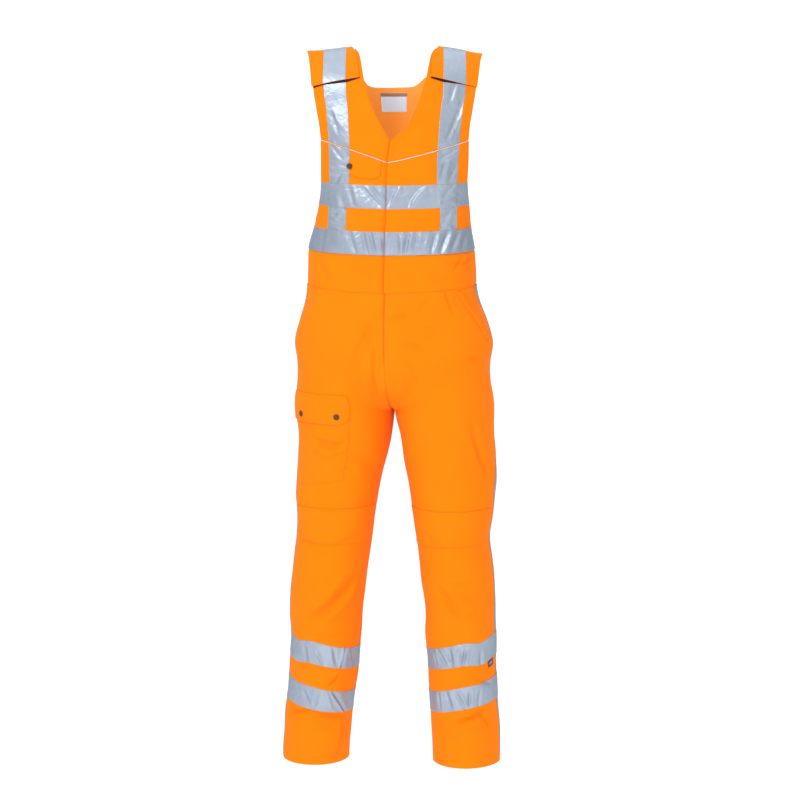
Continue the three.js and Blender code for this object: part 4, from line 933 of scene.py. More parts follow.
def sizes():
    """The sizes set in the panel."""
    return bpy.context.scene.overalls_sizes


def spread(first, last, length, fine):
    """Grid lines over a length in mm, each about fine apart."""
    return lines(first, last, max(4, int(round(length / (fine * sizes().coarseness))) + 1))


PUCKER_LENGTH, PUCKER_DRIFT = 12.5, 31  # from one to the next, and over what length that varies


def pucker(distance, along, height=0.35, reach=8):
    """Cloth drawn in beside a row of stitches, more here and less there."""
    beat = np.sin(along * 2 * math.pi / PUCKER_LENGTH + 2.2 * np.sin(along / PUCKER_DRIFT))
    return -height * (0.5 + 0.5 * beat) * np.exp(-((distance / reach) ** 2))


def beside_edge(g, name):
    """Distance from an edge, and way along it."""
    return getattr(g.d, name), g.d.left if name in ("start", "end") else g.d.start


def sewn(seams=(), hems=(), lip=0.45, extra=None):
    """Shape of a piece with these edges sewn in and those, by (edge, width), doubled as hems."""
    def shape(g):
        lift, thick = 0.0, 0.0
        for name in seams:
            distance, along = beside_edge(g, name)
            lift = lift + dip(distance) + pucker(distance, along)
        for name, width in hems:
            distance, along = beside_edge(g, name)
            lift = lift + pucker(np.abs(distance - width), along, 0.3, 5)
            thick = thick + lip * within(distance, width)
        if extra:
            more = extra(g)
            lift, thick = lift + more[0], thick + more[1]
        return lift, thick
    return shape


def cloth(name, where, rows, cols, lift=0.0, shape=None):
    """A panel of twill whose outer face lies lift above that of the others."""
    thick = sizes().cloth_wall / MM
    piece = wall(name, NETS[where], *grid(rows, cols), finish_of("orange_twill"),
                 finish_of("twill_reverse"), lift=OUTER + lift - thick / 2, thick=thick, shape=shape)


def twill_part(name, where, rows, cols, lift, thick, shape):
    """A part of twill sewn on the panels, its middle lift above their face."""
    return wall(name, NETS[where], rows, cols, finish_of("orange_twill"), lift=OUTER + lift,
                thick=thick, shape=shape)


def tape(name, where, rows, cols, rests_on, lift=0.0, shape=None, ring=False):
    """A reflective tape on the face of the panels."""
    thick = sizes().tape_wall / MM
    lift = OUTER + TAPE_CLEAR + lift + thick / 2
    piece = wall(name, NETS[where], *grid(rows, cols), finish_of("bead_tape"), lift=lift,
                 thick=thick, shape=shape, ring=ring, slot="reflective_tape")


LAP_OVER, LAP_UNDER = (1.2, 9), (4, 9.5)  # lift and width of the upper lap, drop and width of the lower


def centre_lift(leg, near):
    """Lift beside the centre front, where the left side laps over the right one."""
    if leg == "l":
        return LAP_OVER[0] * np.exp(-((near / LAP_OVER[1]) ** 4))
    return -LAP_UNDER[0] * np.clip(1 - near / LAP_UNDER[1], 0, 1)


def make_fronts():
    """Bib and yoke of both fronts."""
    for leg in SIDES:
        def armhole(g):
            under = np.clip((g.i - 2) / 0.8, 0, 1)
            return dip(g.d.left) * (1 - under), 0.45 * within(g.d.left, 9) * under

        def bib(g, leg=leg):
            lift, thick = armhole(g)
            return lift + centre_lift(leg, g.d.right), thick

        def yoke(g, leg=leg):
            lift, thick = armhole(g)
            down = np.clip(3 - g.i, 0, 1)
            neck = 0.4 * within(g.d.right, 8) * (1 - down)
            return lift + down * centre_lift(leg, g.d.right), thick + neck

        cloth("bib_front_" + leg, "bib_" + leg, spread(0, 9, 240, 2.6), spread(0, 10, 172, 2.6),
              shape=sewn(["start", "end"], extra=bib))
        cloth("front_yoke_" + leg, "yoke_" + leg, spread(0, 11, 190, 2.6), spread(0, 10, 130, 2.6),
              shape=sewn(["start"], extra=yoke))


CORD_RADIUS, CORD_SIDES, CORD_STANDS = 0.95, 10, 1.3


def make_piping():
    """Round cord in the seam between yoke and bib."""
    radius, sides = CORD_RADIUS, CORD_SIDES
    for leg in SIDES:
        laid = LAID["bib_front_" + leg]
        path, up = laid.outer[-1], laid.normal[-1]
        along = np.gradient(path, axis=0)
        along /= np.linalg.norm(along, axis=1)[:, None]
        across = np.cross(up, along)
        path = path + up * CORD_STANDS
        if leg == "r":  # ends below the lap of the left side
            path, up, across = path[:-2], up[:-2], across[:-2]
        turn = np.linspace(0, 2 * math.pi, sides, endpoint=False)
        rings = path[:, None] + radius * (np.cos(turn)[None, :, None] * up[:, None]
                                          + np.sin(turn)[None, :, None] * across[:, None])
        count = len(path)
        number = np.arange(count * sides).reshape(count, sides)
        wrapped = np.concatenate([number, number[:, :1]], axis=1)
        faces = np.stack([wrapped[:-1, :-1], wrapped[:-1, 1:], wrapped[1:, 1:], wrapped[1:, :-1]], -1)
        faces = faces.reshape(-1, 4).tolist() + [number[0].tolist()[::-1], number[-1].tolist()]
        length = np.linalg.norm(np.diff(path, axis=0), axis=1).cumsum()
        uv = np.stack([np.tile(turn * radius, count), np.repeat(np.append(0, length), sides)], -1)
        piece = mesh_object("piping_" + leg, rings.reshape(-1, 3), faces, [finish_of("pale_cord")], uv)
        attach(piece, BODY)
        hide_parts("piping_" + leg)


STAND_OFF = {"r": (4.2, 1.0), "l": (0.8, 2.4)}  # how far the strap's end stands off, outside and inside
# how far the dark strip painted as shadow shows below it, outside and inside, and its last column
STRAP_END_SHADOW = {"r": (2.0, 0.6, 9.0), "l": (0.3, 1.2, 8.75)}


def make_straps():
    """Shoulder straps with their tapes, and the dark strips that paint the shadow under their ends."""
    for leg in SIDES:
        def ends(g, leg=leg):
            out, inner = STAND_OFF[leg]
            stand = (out + (inner - out) * g.j / 5) * np.exp(-((g.d.start / 25) ** 2))
            soft = 0.3 * np.sin(g.d.start / 23) + 0.3 * np.sin(g.d.start / 37 + g.j)
            return stand + soft - 1.2 * np.exp(-((g.d.end / 9) ** 2)), 0.0
        cloth("shoulder_strap_" + leg, "strap_" + leg, spread(0, 12, 230, 3), spread(0, 5, 95, 3), 2.5,
              shape=sewn(hems=[("left", 8), ("right", 8), ("start", 6)], lip=0.4, extra=ends))
        tape("strap_tape_" + leg, "strap_" + leg, spread(0, 12, 230, 3), spread(2, 4, 47, 3),
             "shoulder_strap_" + leg, lift=2.55, shape=lambda g, leg=leg: ends(g, leg))
        # dark strip under the end, on the yoke, painted as the shadow in the gap there: its lower edge
        # shows as a wedge
        share, cols = grid(np.linspace(0, 1, 8), spread(0.15, STRAP_END_SHADOW[leg][2], 95, 3))
        t = cols / 9.25
        end = row_of_end(t)
        shows = (STRAP_END_SHADOW[leg][0] + (STRAP_END_SHADOW[leg][1] - STRAP_END_SHADOW[leg][0]) * t) / 14
        rows = end - shows + share * (shows + 0.8)
        piece = wall("strap_lining_" + leg, NETS["yoke_" + leg], rows, cols,
                     finish_of("dark_lining"), lift=OUTER + 1.0, thick=0.6, stands_in=False)


def row_of_end(t):
    """Row of the yoke's net where the strap ends, at shares t from its outer to its inner edge."""
    v = STRAP_ROWS["out"][0] + (STRAP_ROWS["inner"][0] - STRAP_ROWS["out"][0]) * t
    return np.interp(v, YOKE_ROWS["out"], YOKE_ROWS["row"])


def make_back():
    """Bodice of the back in one piece."""
    def edges(g):
        lift, thick = 0.0, 0.0
        under = np.clip((g.i - 2) / 1.2, 0, 1)
        for side in (g.d.left, g.d.right):
            lift = lift + dip(side) * (1 - under)
            thick = thick + 0.45 * within(side, 9) * under
        return lift, thick + 0.4 * within(g.d.end, 8)
    cloth("back_bodice", "back", spread(0, 13, 345, 3.4), spread(0, 14, 340, 3.4),
          shape=sewn(["start"], extra=edges))


def make_waistband():
    """Band between bib and trousers, in three parts."""
    for leg in SIDES:
        cloth("waistband_front_" + leg, "band_" + leg, spread(0, 2, 80, 2.6), spread(0, 10, 180, 2.4),
              shape=sewn(["start", "end", "left"],
                         extra=lambda g, leg=leg: (centre_lift(leg, g.d.right), 0.0)))
    cloth("waistband_back", "band_back", spread(0, 2, 76, 3), spread(0, 16, 370, 3),
          shape=sewn(["start", "end", "left", "right"]))


FLY_LAP = {"r": (-2.8, 4.5, 2), "l": (1.0, 8, 4)}  # lift at the centre front, its width and power
LEG_TALL, HALF_AROUND = 1045, 290  # of the legs' panels
HEM_TALL = 26


def make_trousers():
    """Front and back panel of each leg."""
    for leg in SIDES:
        lap = FLY_LAP[leg]

        def fly(g, lap=lap):
            closed = np.clip((g.b - FLY_END) / 30, 0, 1)
            return lap[0] * closed * np.exp(-((g.d.left / lap[1]) ** lap[2])), 0.0
        cloth("front_leg_" + leg, "leg_" + leg, spread(0, LAST_ROW, LEG_TALL, 4.1),
              spread(0, SEAM_COLUMN, HALF_AROUND, 3.4),
              shape=sewn(["start", "left", "right"], [("end", HEM_TALL)], extra=fly))
        cloth("back_leg_" + leg, "leg_" + leg, spread(0, LAST_ROW, LEG_TALL, 4.8),
              spread(SEAM_COLUMN, LAST_COLUMN, HALF_AROUND, 4.8),
              shape=sewn(["start", "left", "right"], [("end", HEM_TALL)]))


CROSSING_BLUR = 0.12  # columns over which a tape climbs onto another one


def over_columns(lifted, first, last):
    """Extra lift where a tape crosses another one between two columns."""
    def shape(g):
        climb, fall = (np.tanh(way / CROSSING_BLUR) for way in (g.j - first, last - g.j))
        return lifted * (0.25 * (1 + climb) * (1 + fall)), 0.0
    return shape


FLAP_OVER = 1.75  # how much the upright tape climbs over the chest flap
BACK_BRACE = {"r": (2, 4), "l": (10, 12)}  # columns of the upright tapes on the back
SHIN_TAPES = {"upper": (-1278, -1326), "lower": (-1374, -1422)}


def make_tapes():
    """All tapes but those of the straps. The level ones climb over the upright ones."""
    step = sizes().tape_wall / MM + TAPE_CLEAR
    for leg in SIDES:
        bib, front, name = "bib_" + leg, "bib_front_" + leg, "leg_" + leg
        for start, rows, over in (("waist_tape_", WAIST_TAPE, 0.5), ("chest_tape_", CHEST_TAPE, step)):
            def level(g, leg=leg, over=over):
                return over_columns(over, TAPE_OUT, TAPE_IN)(g)[0] + centre_lift(leg, g.d.right), 0.0
            tape(start + leg, bib, spread(*rows, 49, 2.2), spread(0, LAST, 172, 1.7), front, shape=level)

        def over_flap(g, leg=leg):
            return FLAP_OVER * np.clip((g.i - 6.6) / 0.25, 0, 1) if leg == "r" else 0.0, 0.0
        tape("brace_tape_bib_" + leg, bib, spread(2.014, 8.93, 180, 2.2),
             spread(TAPE_OUT, TAPE_IN, 44, 2.2), front, shape=over_flap)
        tape("brace_tape_yoke_" + leg, "yoke_" + leg, spread(0.1, 7.2, 125, 2.2),
             spread(TAPE_OUT, TAPE_IN, 47, 2.2), "front_yoke_" + leg)
        panels = ["front_leg_" + leg, "back_leg_" + leg]
        columns = np.linspace(0, LAST_COLUMN, 225)[:-1]
        crossing = over_columns(step, SEAM_COLUMN - 1, SEAM_COLUMN + 1)
        for level, heights in SHIN_TAPES.items():
            rows = spread(*map(row_at, heights), 49, 2.5)
            tape(f"shin_tape_{level}_{leg}", name, rows, columns, panels, shape=crossing, ring=True)
        tape("side_tape_" + leg, name, spread(0.02, LAST_ROW - 0.3, 1030, 4.2),
             spread(SEAM_COLUMN - 1, SEAM_COLUMN + 1, 49, 3), panels)
        tape("brace_tape_back_" + leg, "back", spread(2.03, 12.58, 300, 3),
             spread(*BACK_BRACE[leg], 47, 3), "back_bodice")
    tape("waist_tape_back", "back", spread(0, 2, 49, 2.2), spread(0, 14, 350, 2.4), "back_bodice")

    def crossings(g):
        return sum(over_columns(step, *columns)(g)[0] for columns in BACK_BRACE.values()), 0.0
    tape("chest_tape_back", "back", spread(5, 7, 49, 2.2), spread(0, 14, 300, 2.4), "back_bodice",
         shape=crossings)


# Lower edge of the chest flap, and row of its upper edge
FLAP_EDGE = table("column row", (3, 7), (5, 6.9), (6, 6.7), (7.5, 6.65), (8.7, 6.75), (9.25, 7.25))
FLAP_TOP = 8.9
POCKET_ROWS, POCKET_COLUMNS = (6.15, 14.28), (4.72, 9.6)
POCKET_SLANT = 0.48  # how many rows the bottom of the pocket falls towards the side seam
THIGH_FLAP_TOP = 6.05
THIGH_FLAP_EDGE = ((4.7, 5, 5.32, 9.68), (10.1, 10.5, 10.7, 10.7))  # columns, rows of the lower edge
MOUTH = table("row around", (0.12, 0.326), (1, 0.373), (2, 0.42), (2.75, 0.452))
MOUTH_WIDE = 0.0285  # width of its facing as a share of the ring
MOUTH_LIES = {"r": -0.25, "l": 0.55}  # middle of the facing above the face of the cloth
MOUTH_STANDS = {"r": 0.1, "l": 3.6}  # how far the pocket's mouth stands off the leg


def column_at(leg, rows, around):
    """Column of a leg's net at each place, by its share of the ring."""
    columns = ring_columns(leg)
    found = []
    for row, share in zip(np.ravel(rows), np.ravel(around)):
        shares = [np.interp(row, range(len(columns)), column) for column in columns.T]
        found.append(np.interp(share, shares, range(len(shares))))
    return np.reshape(found, np.shape(rows))


def make_chest_flap():
    """Flap of the chest pocket, with a slanting lower edge that lifts a little."""
    share, cols = grid(np.linspace(0, 1, 26), spread(3, 9.25, 108, 2.4))
    low = read(FLAP_EDGE, "row", cols)

    def lifted(g):
        return 0.9 * np.exp(-((np.minimum(g.d.start, g.d.right) / 6) ** 2)), 0.0
    piece = twill_part("chest_pocket_flap", "bib_r", low + (FLAP_TOP - low) * share, cols, 0.75, 1.3,
                       sewn(hems=[("start", 7), ("right", 7), ("left", 7)], lip=0.35, extra=lifted))


def make_thigh_pocket():
    """Bag of the thigh pocket, a little full below the flap."""
    (top, bottom), (first, last) = POCKET_ROWS, POCKET_COLUMNS
    rows, cols = grid(spread(top, bottom, 290, 3.2), spread(first, last, 142, 2.6))
    down = np.clip((rows - top) / (bottom - top), 0, 1)
    rows = rows + POCKET_SLANT * (cols - first) / (last - first) * down**6

    def bag(g):
        middle = np.clip(np.minimum(g.d.left, g.d.right) / 26, 0, 1)
        belly = 2.2 * middle * np.clip(g.d.end / 30, 0, 1) * np.clip((g.i - 10.5) / 1.5, 0, 1)
        inner_line = -0.5 * np.exp(-(((g.i - 13.6) / 0.1) ** 2)) * middle
        return belly - fold_depth(POCKET_FOLDS, g.a, g.b) + inner_line, 0.0
    piece = twill_part("thigh_pocket", "leg_r", rows, cols, 1.05, 1.1,
                       sewn(["left", "right", "end"], extra=bag))


def make_thigh_flap():
    """Flap of the thigh pocket; its corner by the inner leg is cut on the slant."""
    share, cols = grid(np.linspace(0, 1, 56), spread(4.7, 9.68, 145, 2.6))
    rows = THIGH_FLAP_TOP + (np.interp(cols, *THIGH_FLAP_EDGE) - THIGH_FLAP_TOP) * share
    upper = np.clip((8.5 - rows) / 2.45, 0, 1)
    cols = cols - 0.3 * upper * np.clip((5 - cols) / 0.3, 0, 1)

    def lifted(g):
        return 0.7 * np.exp(-((g.d.end / 12) ** 2)), 0.0
    piece = twill_part("thigh_pocket_flap", "leg_r", rows, cols, 2.6, 1.4,
                       sewn(["start"], [("end", 8), ("left", 8), ("right", 8)], 0.4, lifted))


def make_pocket_mouth(leg):
    """Facing along the slanting mouth of a hip pocket."""
    share, across = grid(np.linspace(0, 1, 44), np.linspace(0, 1, 9))
    first, last = MOUTH["row"][[0, -1]]
    rows = first + (last - first) * share
    cols = column_at(leg, rows, read(MOUTH, "around", rows) - MOUTH_WIDE * (1 - across))

    def mouth(g):
        stands = g.d.left / 15 + 0.4 * np.exp(-(((g.d.left - 5) / 2.2) ** 2))
        return MOUTH_STANDS[leg] * stands, 0.0
    name = "hip_pocket_edge_" + leg
    piece = twill_part(name, "leg_" + leg, rows, cols, MOUTH_LIES[leg], 0.9, mouth)


def make_pockets():
    """Chest flap, thigh pocket with its flap, and the mouths of the hip pockets."""
    make_chest_flap()
    make_thigh_pocket()
    make_thigh_flap()
    for leg in SIDES:
        make_pocket_mouth(leg)


KNEE_TOP, KNEE_LOW = -978, -1054
KNEE_COLUMNS = (0.35, 9.94)
KNEE_STANDS = 0.6  # how far its upper and lower edges stand off


def make_knees():
    """The pieces sewn over the knees."""
    rows, cols = spread(row_at(KNEE_TOP), row_at(KNEE_LOW), 78, 2.6), spread(*KNEE_COLUMNS, 215, 3)

    def patch(g):
        """Stands off at its upper and lower edges, and lies down towards both seams."""
        side = np.minimum(g.d.left, g.d.right)
        stands = KNEE_STANDS * (np.exp(-((g.d.start / 6) ** 2)) + np.exp(-((g.d.end / 6) ** 2)))
        return stands * np.clip(side / 40, 0, 1) - 1.1 * np.exp(-((side / 14) ** 2)), 0.0

    for leg in SIDES:
        name = "knee_patch_" + leg
        piece = twill_part(name, "leg_" + leg, *grid(rows, cols), 0.65, 1.1,
                           sewn(hems=[("start", 7), ("end", 7)], lip=0.5, extra=patch))


STUD = (  # radius and height of the profile, from the middle of the cap outward
    (0, 1.9), (2.6, 1.85), (3.5, 1.6), (3.9, 1.75), (5.2, 2.5), (5.9, 2.35), (6.5, 1.7), (6.55, 0.6),
    (6.3, 0),
)
STUD_SIDES = 32
STUDS = (  # name, net, row, column, lift
    ("snap_chest", "bib_r", 7.55, 5.04, 2.9), ("snap_thigh_front", "leg_r", 10.12, 5.6, 4),
    ("snap_thigh_rear", "leg_r", 10.12, 8.62, 4),
)


def make_studs():
    """Caps of the press studs, each a turned profile with a rolled rim."""
    sides = STUD_SIDES
    for name, where, i, j, lift in STUDS:
        base, normal, _, _ = NETS[where](i, j)
        up = Vector(normal)
        turn = up.to_track_quat("Z", "Y").to_matrix()
        vertices, faces = [], []
        for radius, height in STUD:
            for k in range(sides):
                angle = 2 * math.pi * k / sides
                spot = turn @ Vector((radius * math.cos(angle), radius * math.sin(angle), height))
                vertices.append(Vector(base) + up * lift + spot)
        for r in range(len(STUD) - 1):
            for k in range(sides):
                n = (k + 1) % sides
                faces.append((r * sides + k, r * sides + n, (r + 1) * sides + n, (r + 1) * sides + k))
        last = (len(STUD) - 1) * sides
        faces.append(tuple(range(last, last + sides)))
        piece = mesh_object(name, vertices, faces, [finish_of("antique_brass")])
        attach(piece, BODY)
        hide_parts(name)


PATCH_GRID = (14, 20)
LABEL_BEHIND = 0.45  # from the inner face of the back to the middle of the neck label


def small_patch(name, where, rows, cols, lift, finish, slot, second, part):
    """A small woven piece with a part of its face, by shares of rows and columns, in a second finish."""
    piece = wall(name, NETS[where], *grid(*(np.linspace(*ends, count) for ends, count
                                            in zip((rows, cols), PATCH_GRID))),
                 finish_of(finish), lift=lift, thick=0.5, slot=slot)
    piece.data.materials.append(finish_of(second))
    row, column = grid(*((np.arange(count - 1) + 0.5) / (count - 1) for count in PATCH_GRID))
    chosen = (row > part[0]) & (row < part[1]) & (column > part[2]) & (column < part[3])
    for k, inside in enumerate(np.tile(chosen.ravel(), 2)):
        piece.data.polygons[k].material_index = int(inside)
    return piece


def make_labels():
    """Plain label in the neck with its dark band, and the small plain tag on the left shin."""
    inside = OUTER - sizes().cloth_wall / MM - LABEL_BEHIND
    piece = small_patch("neck_label", "back", (11.5, 12.8), (6.05, 7.75), inside, "pale_satin",
                        "label_satin", "label_band", (0.86, 1, 0, 1))
    tag = row_at(SHIN_TAPES["upper"][1])
    piece = small_patch("leg_tag", "leg_l", (tag + 0.06, tag + 0.6), (8.72, 9.42), OUTER + 0.5,
                        "maroon_weave", "tag_weave", "tag_face", (0.3, 0.7, 0.15, 0.85))


class Sewing:
    """Rows of thread stitches gathered into one mesh."""

    def __init__(self, name, finish):
        self.name, self.finish, self.vertices, self.faces = name, finish, [], []

    def path(self, points, normals):
        """Stitches along a line of points, just above the cloth."""
        points, normals = np.asarray(points), np.asarray(normals)
        steps = np.linalg.norm(np.diff(points, axis=0), axis=1)
        along = np.append(0, steps.cumsum())
        pitch, length = sizes().stitch_pitch / MM, sizes().stitch_length / MM
        if along[-1] < 2 * pitch:
            return
        spots = np.arange(pitch / 2, along[-1] - pitch / 2, pitch)

        def at(where, values):
            return np.stack([np.interp(where, along, values[:, k]) for k in range(3)], -1)
        tail, head = at(spots - length / 2, points), at(spots + length / 2, points)
        middle, up = at(spots, points), at(spots, normals)
        over = np.cross(head - tail, up)
        over /= np.maximum(np.linalg.norm(over, axis=1)[:, None], 1e-9)
        ring = [tail + up * 0.02, middle + over * 0.3 + up * 0.1, middle + up * 0.34,
                middle - over * 0.3 + up * 0.1, middle - up * 0.12, head + up * 0.02]
        first = len(self.vertices) * 6
        self.vertices.extend(np.stack(ring, 1))
        for k in range(len(spots)):
            n = first + 6 * k
            for a, b in ((1, 2), (2, 3), (3, 4), (4, 1)):
                self.faces += [(n, n + a, n + b), (n + 5, n + b, n + a)]

    def beside(self, name, edge, *distances, span=(0, 1)):
        """Stitches at these distances from one edge of a piece already made."""
        laid = LAID[name]
        gap, outer, normal = getattr(laid.d, edge), laid.outer, laid.normal
        if edge in ("start", "end"):
            gap, outer, normal = gap.T, outer.swapaxes(0, 1), normal.swapaxes(0, 1)
        if edge in ("right", "end"):
            gap, outer, normal = gap[:, ::-1], outer[:, ::-1], normal[:, ::-1]
        rows = range(int(span[0] * (len(gap) - 1)), int(span[1] * (len(gap) - 1)) + 1)
        for distance in distances:
            self.path(*([[np.interp(distance, gap[r], values[r, :, k]) for k in range(3)] for r in rows]
                        for values in (outer, normal)))

    def build(self):
        """Makes the object of all stitches so far."""
        vertices = np.concatenate(self.vertices)
        piece = mesh_object(self.name, vertices, self.faces, [finish_of(self.finish)], flat=True)
        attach(piece, BODY)


def make_stitching():
    """Rows of stitches along seams, hems, flaps and tapes."""
    upper = Sewing("stitches_upper", "thread_orange")
    lower = Sewing("stitches_lower", "thread_orange")
    taped = Sewing("stitches_tape", "thread_grey")
    for leg in SIDES:
        bib, yoke, strap = "bib_front_" + leg, "front_yoke_" + leg, "shoulder_strap_" + leg
        upper.beside(bib, "left", 2, 8, span=(0.28, 1))
        upper.beside(yoke, "left", 2, 8)
        upper.beside(yoke, "right", 2, 7, span=(0.2, 1))
        upper.beside(yoke, "start", 3)
        upper.beside(bib, "end", 3)
        for edge in ("left", "right"):
            upper.beside(strap, edge, 2, 7)
        upper.beside(strap, "start", 2, 6)
        upper.beside("waistband_front_" + leg, "end", 2)
        lower.beside("front_leg_" + leg, "start", 2, 8)
        lower.beside("back_leg_" + leg, "start", 2, 8)
        for panel in ("front_leg_", "back_leg_"):
            lower.beside(panel + leg, "end", 24)
        lower.beside("front_leg_" + leg, "left", 3, 9)
        lower.beside("back_leg_" + leg, "right", 3, 9)
        for edge in ("start", "end"):
            lower.beside("knee_patch_" + leg, edge, 2, 6.5)
        if leg == "l":
            lower.beside("hip_pocket_edge_" + leg, "right", 2, 8)
        for name in ("waist_tape_", "chest_tape_", "shin_tape_upper_", "shin_tape_lower_"):
            for edge in ("start", "end"):
                taped.beside(name + leg, edge, 2)
        for name in ("brace_tape_bib_", "brace_tape_yoke_", "strap_tape_", "side_tape_",
                     "brace_tape_back_"):
            for edge in ("left", "right"):
                taped.beside(name + leg, edge, 2)
    for edge, span in (("left", (0.3, 1)), ("right", (0.3, 1)), ("end", (0, 1))):
        upper.beside("back_bodice", edge, 2, 8, span=span)
    upper.beside("waistband_back", "end", 2)
    for name in ("waist_tape_back", "chest_tape_back"):
        for edge in ("start", "end"):
            taped.beside(name, edge, 2)
    for edge in ("left", "right", "start"):
        upper.beside("chest_pocket_flap", edge, 2, 6)
    for edge in ("left", "right", "end"):
        lower.beside("thigh_pocket_flap", edge, 2, 7)
        lower.beside("thigh_pocket", edge, 2, 7)
    upper.build()
    lower.build()
    taped.build()


# ---------------------------------------------------------------- stage
FLOOR_Z, FLOOR_REACH = -1.95, 12
VIEW = SimpleNamespace(azimuth=9.0, elevation=8.4, distance=6.18, target=(0.012, 0.0, -0.753),
                       lens=128.571)


def area_light(name, place, target, size, power):
    """A round white soft light aimed at a point."""
    data = bpy.data.lights.new(name, "AREA")
    data.shape, data.size, data.energy = "DISK", size, power
    lamp = bpy.data.objects.new(name, data)
    lamp.location = place
    lamp.rotation_euler = (Vector(target) - Vector(place)).to_track_quat("-Z", "Y").to_euler()
    bpy.context.scene.collection.objects.link(lamp)


def make_world(light):
    """White behind and above, dimmer in front and dark at both sides, as between two screens."""
    world = bpy.data.worlds.new("studio")
    world.use_nodes = True
    tree = world.node_tree
    back = next(n for n in tree.nodes if n.type == "BACKGROUND")
    way = node(tree, "ShaderNodeTexCoord").outputs["Generated"]
    x, y, z = node(tree, "ShaderNodeSeparateXYZ", [("Vector", way)]).outputs
    shifted = node(tree, "ShaderNodeMath", [(0, x), (1, light.shift)], operation="ADD").outputs[0]
    aside = node(tree, "ShaderNodeMath", [(0, shifted)], operation="ABSOLUTE").outputs[0]

    def ramp(value, low, high, first, last):
        return node(tree, "ShaderNodeMapRange", [("Value", value), ("From Min", low), ("From Max", high),
                                                 ("To Min", first), ("To Max", last)]).outputs[0]
    open_way = ramp(aside, 0.3, 0.9, 1, 0)
    depth = ramp(y, -0.6, 0.6, light.front, light.room)
    level = node(tree, "ShaderNodeMath", [(0, open_way), (1, depth)], operation="MULTIPLY").outputs[0]
    above = ramp(z, 0, 0.8, light.sides, light.above)
    screen = node(tree, "ShaderNodeMath", [(0, level), (1, above)], operation="ADD")
    back.inputs["Color"].default_value = (1, 1, 1, 1)
    tree.links.new(screen.outputs[0], back.inputs["Strength"])
    bpy.context.scene.world = world


def make_floor():
    """One plain face, far enough below the garment to show as a plain ground."""
    mesh = bpy.data.meshes.new("floor")
    corners = ((-1, -1), (1, -1), (1, 1), (-1, 1))
    places = [(x * FLOOR_REACH, y * FLOOR_REACH, FLOOR_Z) for x, y in corners]
    mesh.from_pydata(places, [], [(0, 1, 2, 3)])
    mesh.materials.append(finish_of("floor"))
    floor = bpy.data.objects.new("floor", mesh)
    bpy.context.scene.collection.objects.link(floor)


def make_camera():
    """Camera on the side of the front, a little to the wearer's left and above."""
    a, e = math.radians(VIEW.azimuth), math.radians(VIEW.elevation)
    away = Vector((math.sin(a) * math.cos(e), -math.cos(a) * math.cos(e), math.sin(e)))
    data = bpy.data.cameras.new("camera")
    data.sensor_width, data.lens, data.clip_end = 36, VIEW.lens, 100
    camera = bpy.data.objects.new("camera", data)
    camera.location = Vector(VIEW.target) + away * VIEW.distance
    camera.rotation_euler = (-away).to_track_quat("-Z", "Y").to_euler()
    bpy.context.scene.collection.objects.link(camera)
    bpy.context.scene.camera = camera


def make_stage():
    """Room, floor, four lights and the camera."""
    light = bpy.context.scene.overalls_light
    make_world(light)
    bpy.context.scene.view_settings.view_transform = "Standard"
    make_floor()
    area_light("key", (-1.3, -3.2, 1.8), (0, 0, -0.65), 1.2, light.key)
    area_light("top", (-0.2, -1.5, 0.9), (0, 0, -0.25), 0.8, light.top)
    area_light("fill", (2.4, -2.6, -0.5), (0, 0, -0.8), 2.0, light.fill)
    area_light("low", (0.5, -2.4, -1.5), (0, 0, -1.36), 0.35, light.low)
    make_camera()


# ---------------------------------------------------------------- the add-on
def number_property(name, description, default, **kind):
    """A plain number that the panel shows."""
    return bpy.props.FloatProperty(name=name, description=description, default=default, **kind)


def length_property(name, description, default):
    """A length in metres, shown in the scene's unit."""
    return number_property(name, description, default, unit="LENGTH", precision=5)


def colour_property(name, description, code):
    """A colour, stated as its sRGB hex code."""
    return bpy.props.FloatVectorProperty(name=name, description=description, default=linear(code), size=4,
                                         subtype="COLOR", min=0, max=1)


class OverallsSizes(bpy.types.PropertyGroup):
    cloth_wall: length_property("Cloth wall", "Thickness of the twill panels", 0.0011)
    tape_wall: length_property("Tape wall", "Thickness of the reflective tape", 0.0007)
    stitch_length: length_property("Stitch", "Length of one stitch", 0.0026)
    stitch_pitch: length_property("Stitch pitch", "From one stitch to the next", 0.0035)
    coarseness: number_property("Coarseness", "Times the usual grid step", 1.0)


class OverallsColours(bpy.types.PropertyGroup):
    twill: colour_property("Twill", "Outer side of the cloth", "#FF7F09")
    reverse: colour_property("Reverse", "Inner side of the cloth", "#EE9446")
    # painted glow of the reverse: it brightens the inside of the neck and hems as light would, though the
    # cloth is no lamp
    reverse_painted_glow: colour_property("Glow", "Light that comes through the cloth", "#FFD040")
    tape: colour_property("Tape", "Reflective tape", "#A3AEBD")
    tape_rim: colour_property("Tape rim", "Reflective tape seen at a flat angle", "#5F666E")
    piping: colour_property("Piping", "Cord in the yoke seam", "#F0D2BC")
    brass: colour_property("Brass", "Caps of the press studs", "#5E4A34")
    # the label's colour is cooler than its own pale white, and its sheen is a painted cool glow: both
    # cancel the orange light bounced onto it
    label: colour_property("Label", "Label in the neck", "#C9D8E6")
    label_painted_glow: colour_property("Label sheen", "Cool part of the label's sheen", "#6ED4FF")
    label_band: colour_property("Label band", "Top band of the label", "#9C7F74")
    tag: colour_property("Tag", "Ground of the small tag", "#5A3038")
    # nearly black colour that paints the shadow in the gap under the straps' ends
    lining: colour_property("Lining", "Lining under the ends of the straps", "#1E120C")
    tag_face: colour_property("Tag face", "Middle of the small tag", "#A67A80")
    thread: colour_property("Thread", "Sewing thread on the cloth", "#F57C08")
    thread_grey: colour_property("Grey thread", "Sewing thread on the tapes", "#A9B2BC")
    floor: colour_property("Floor", "Plain floor", "#F7F7F7")


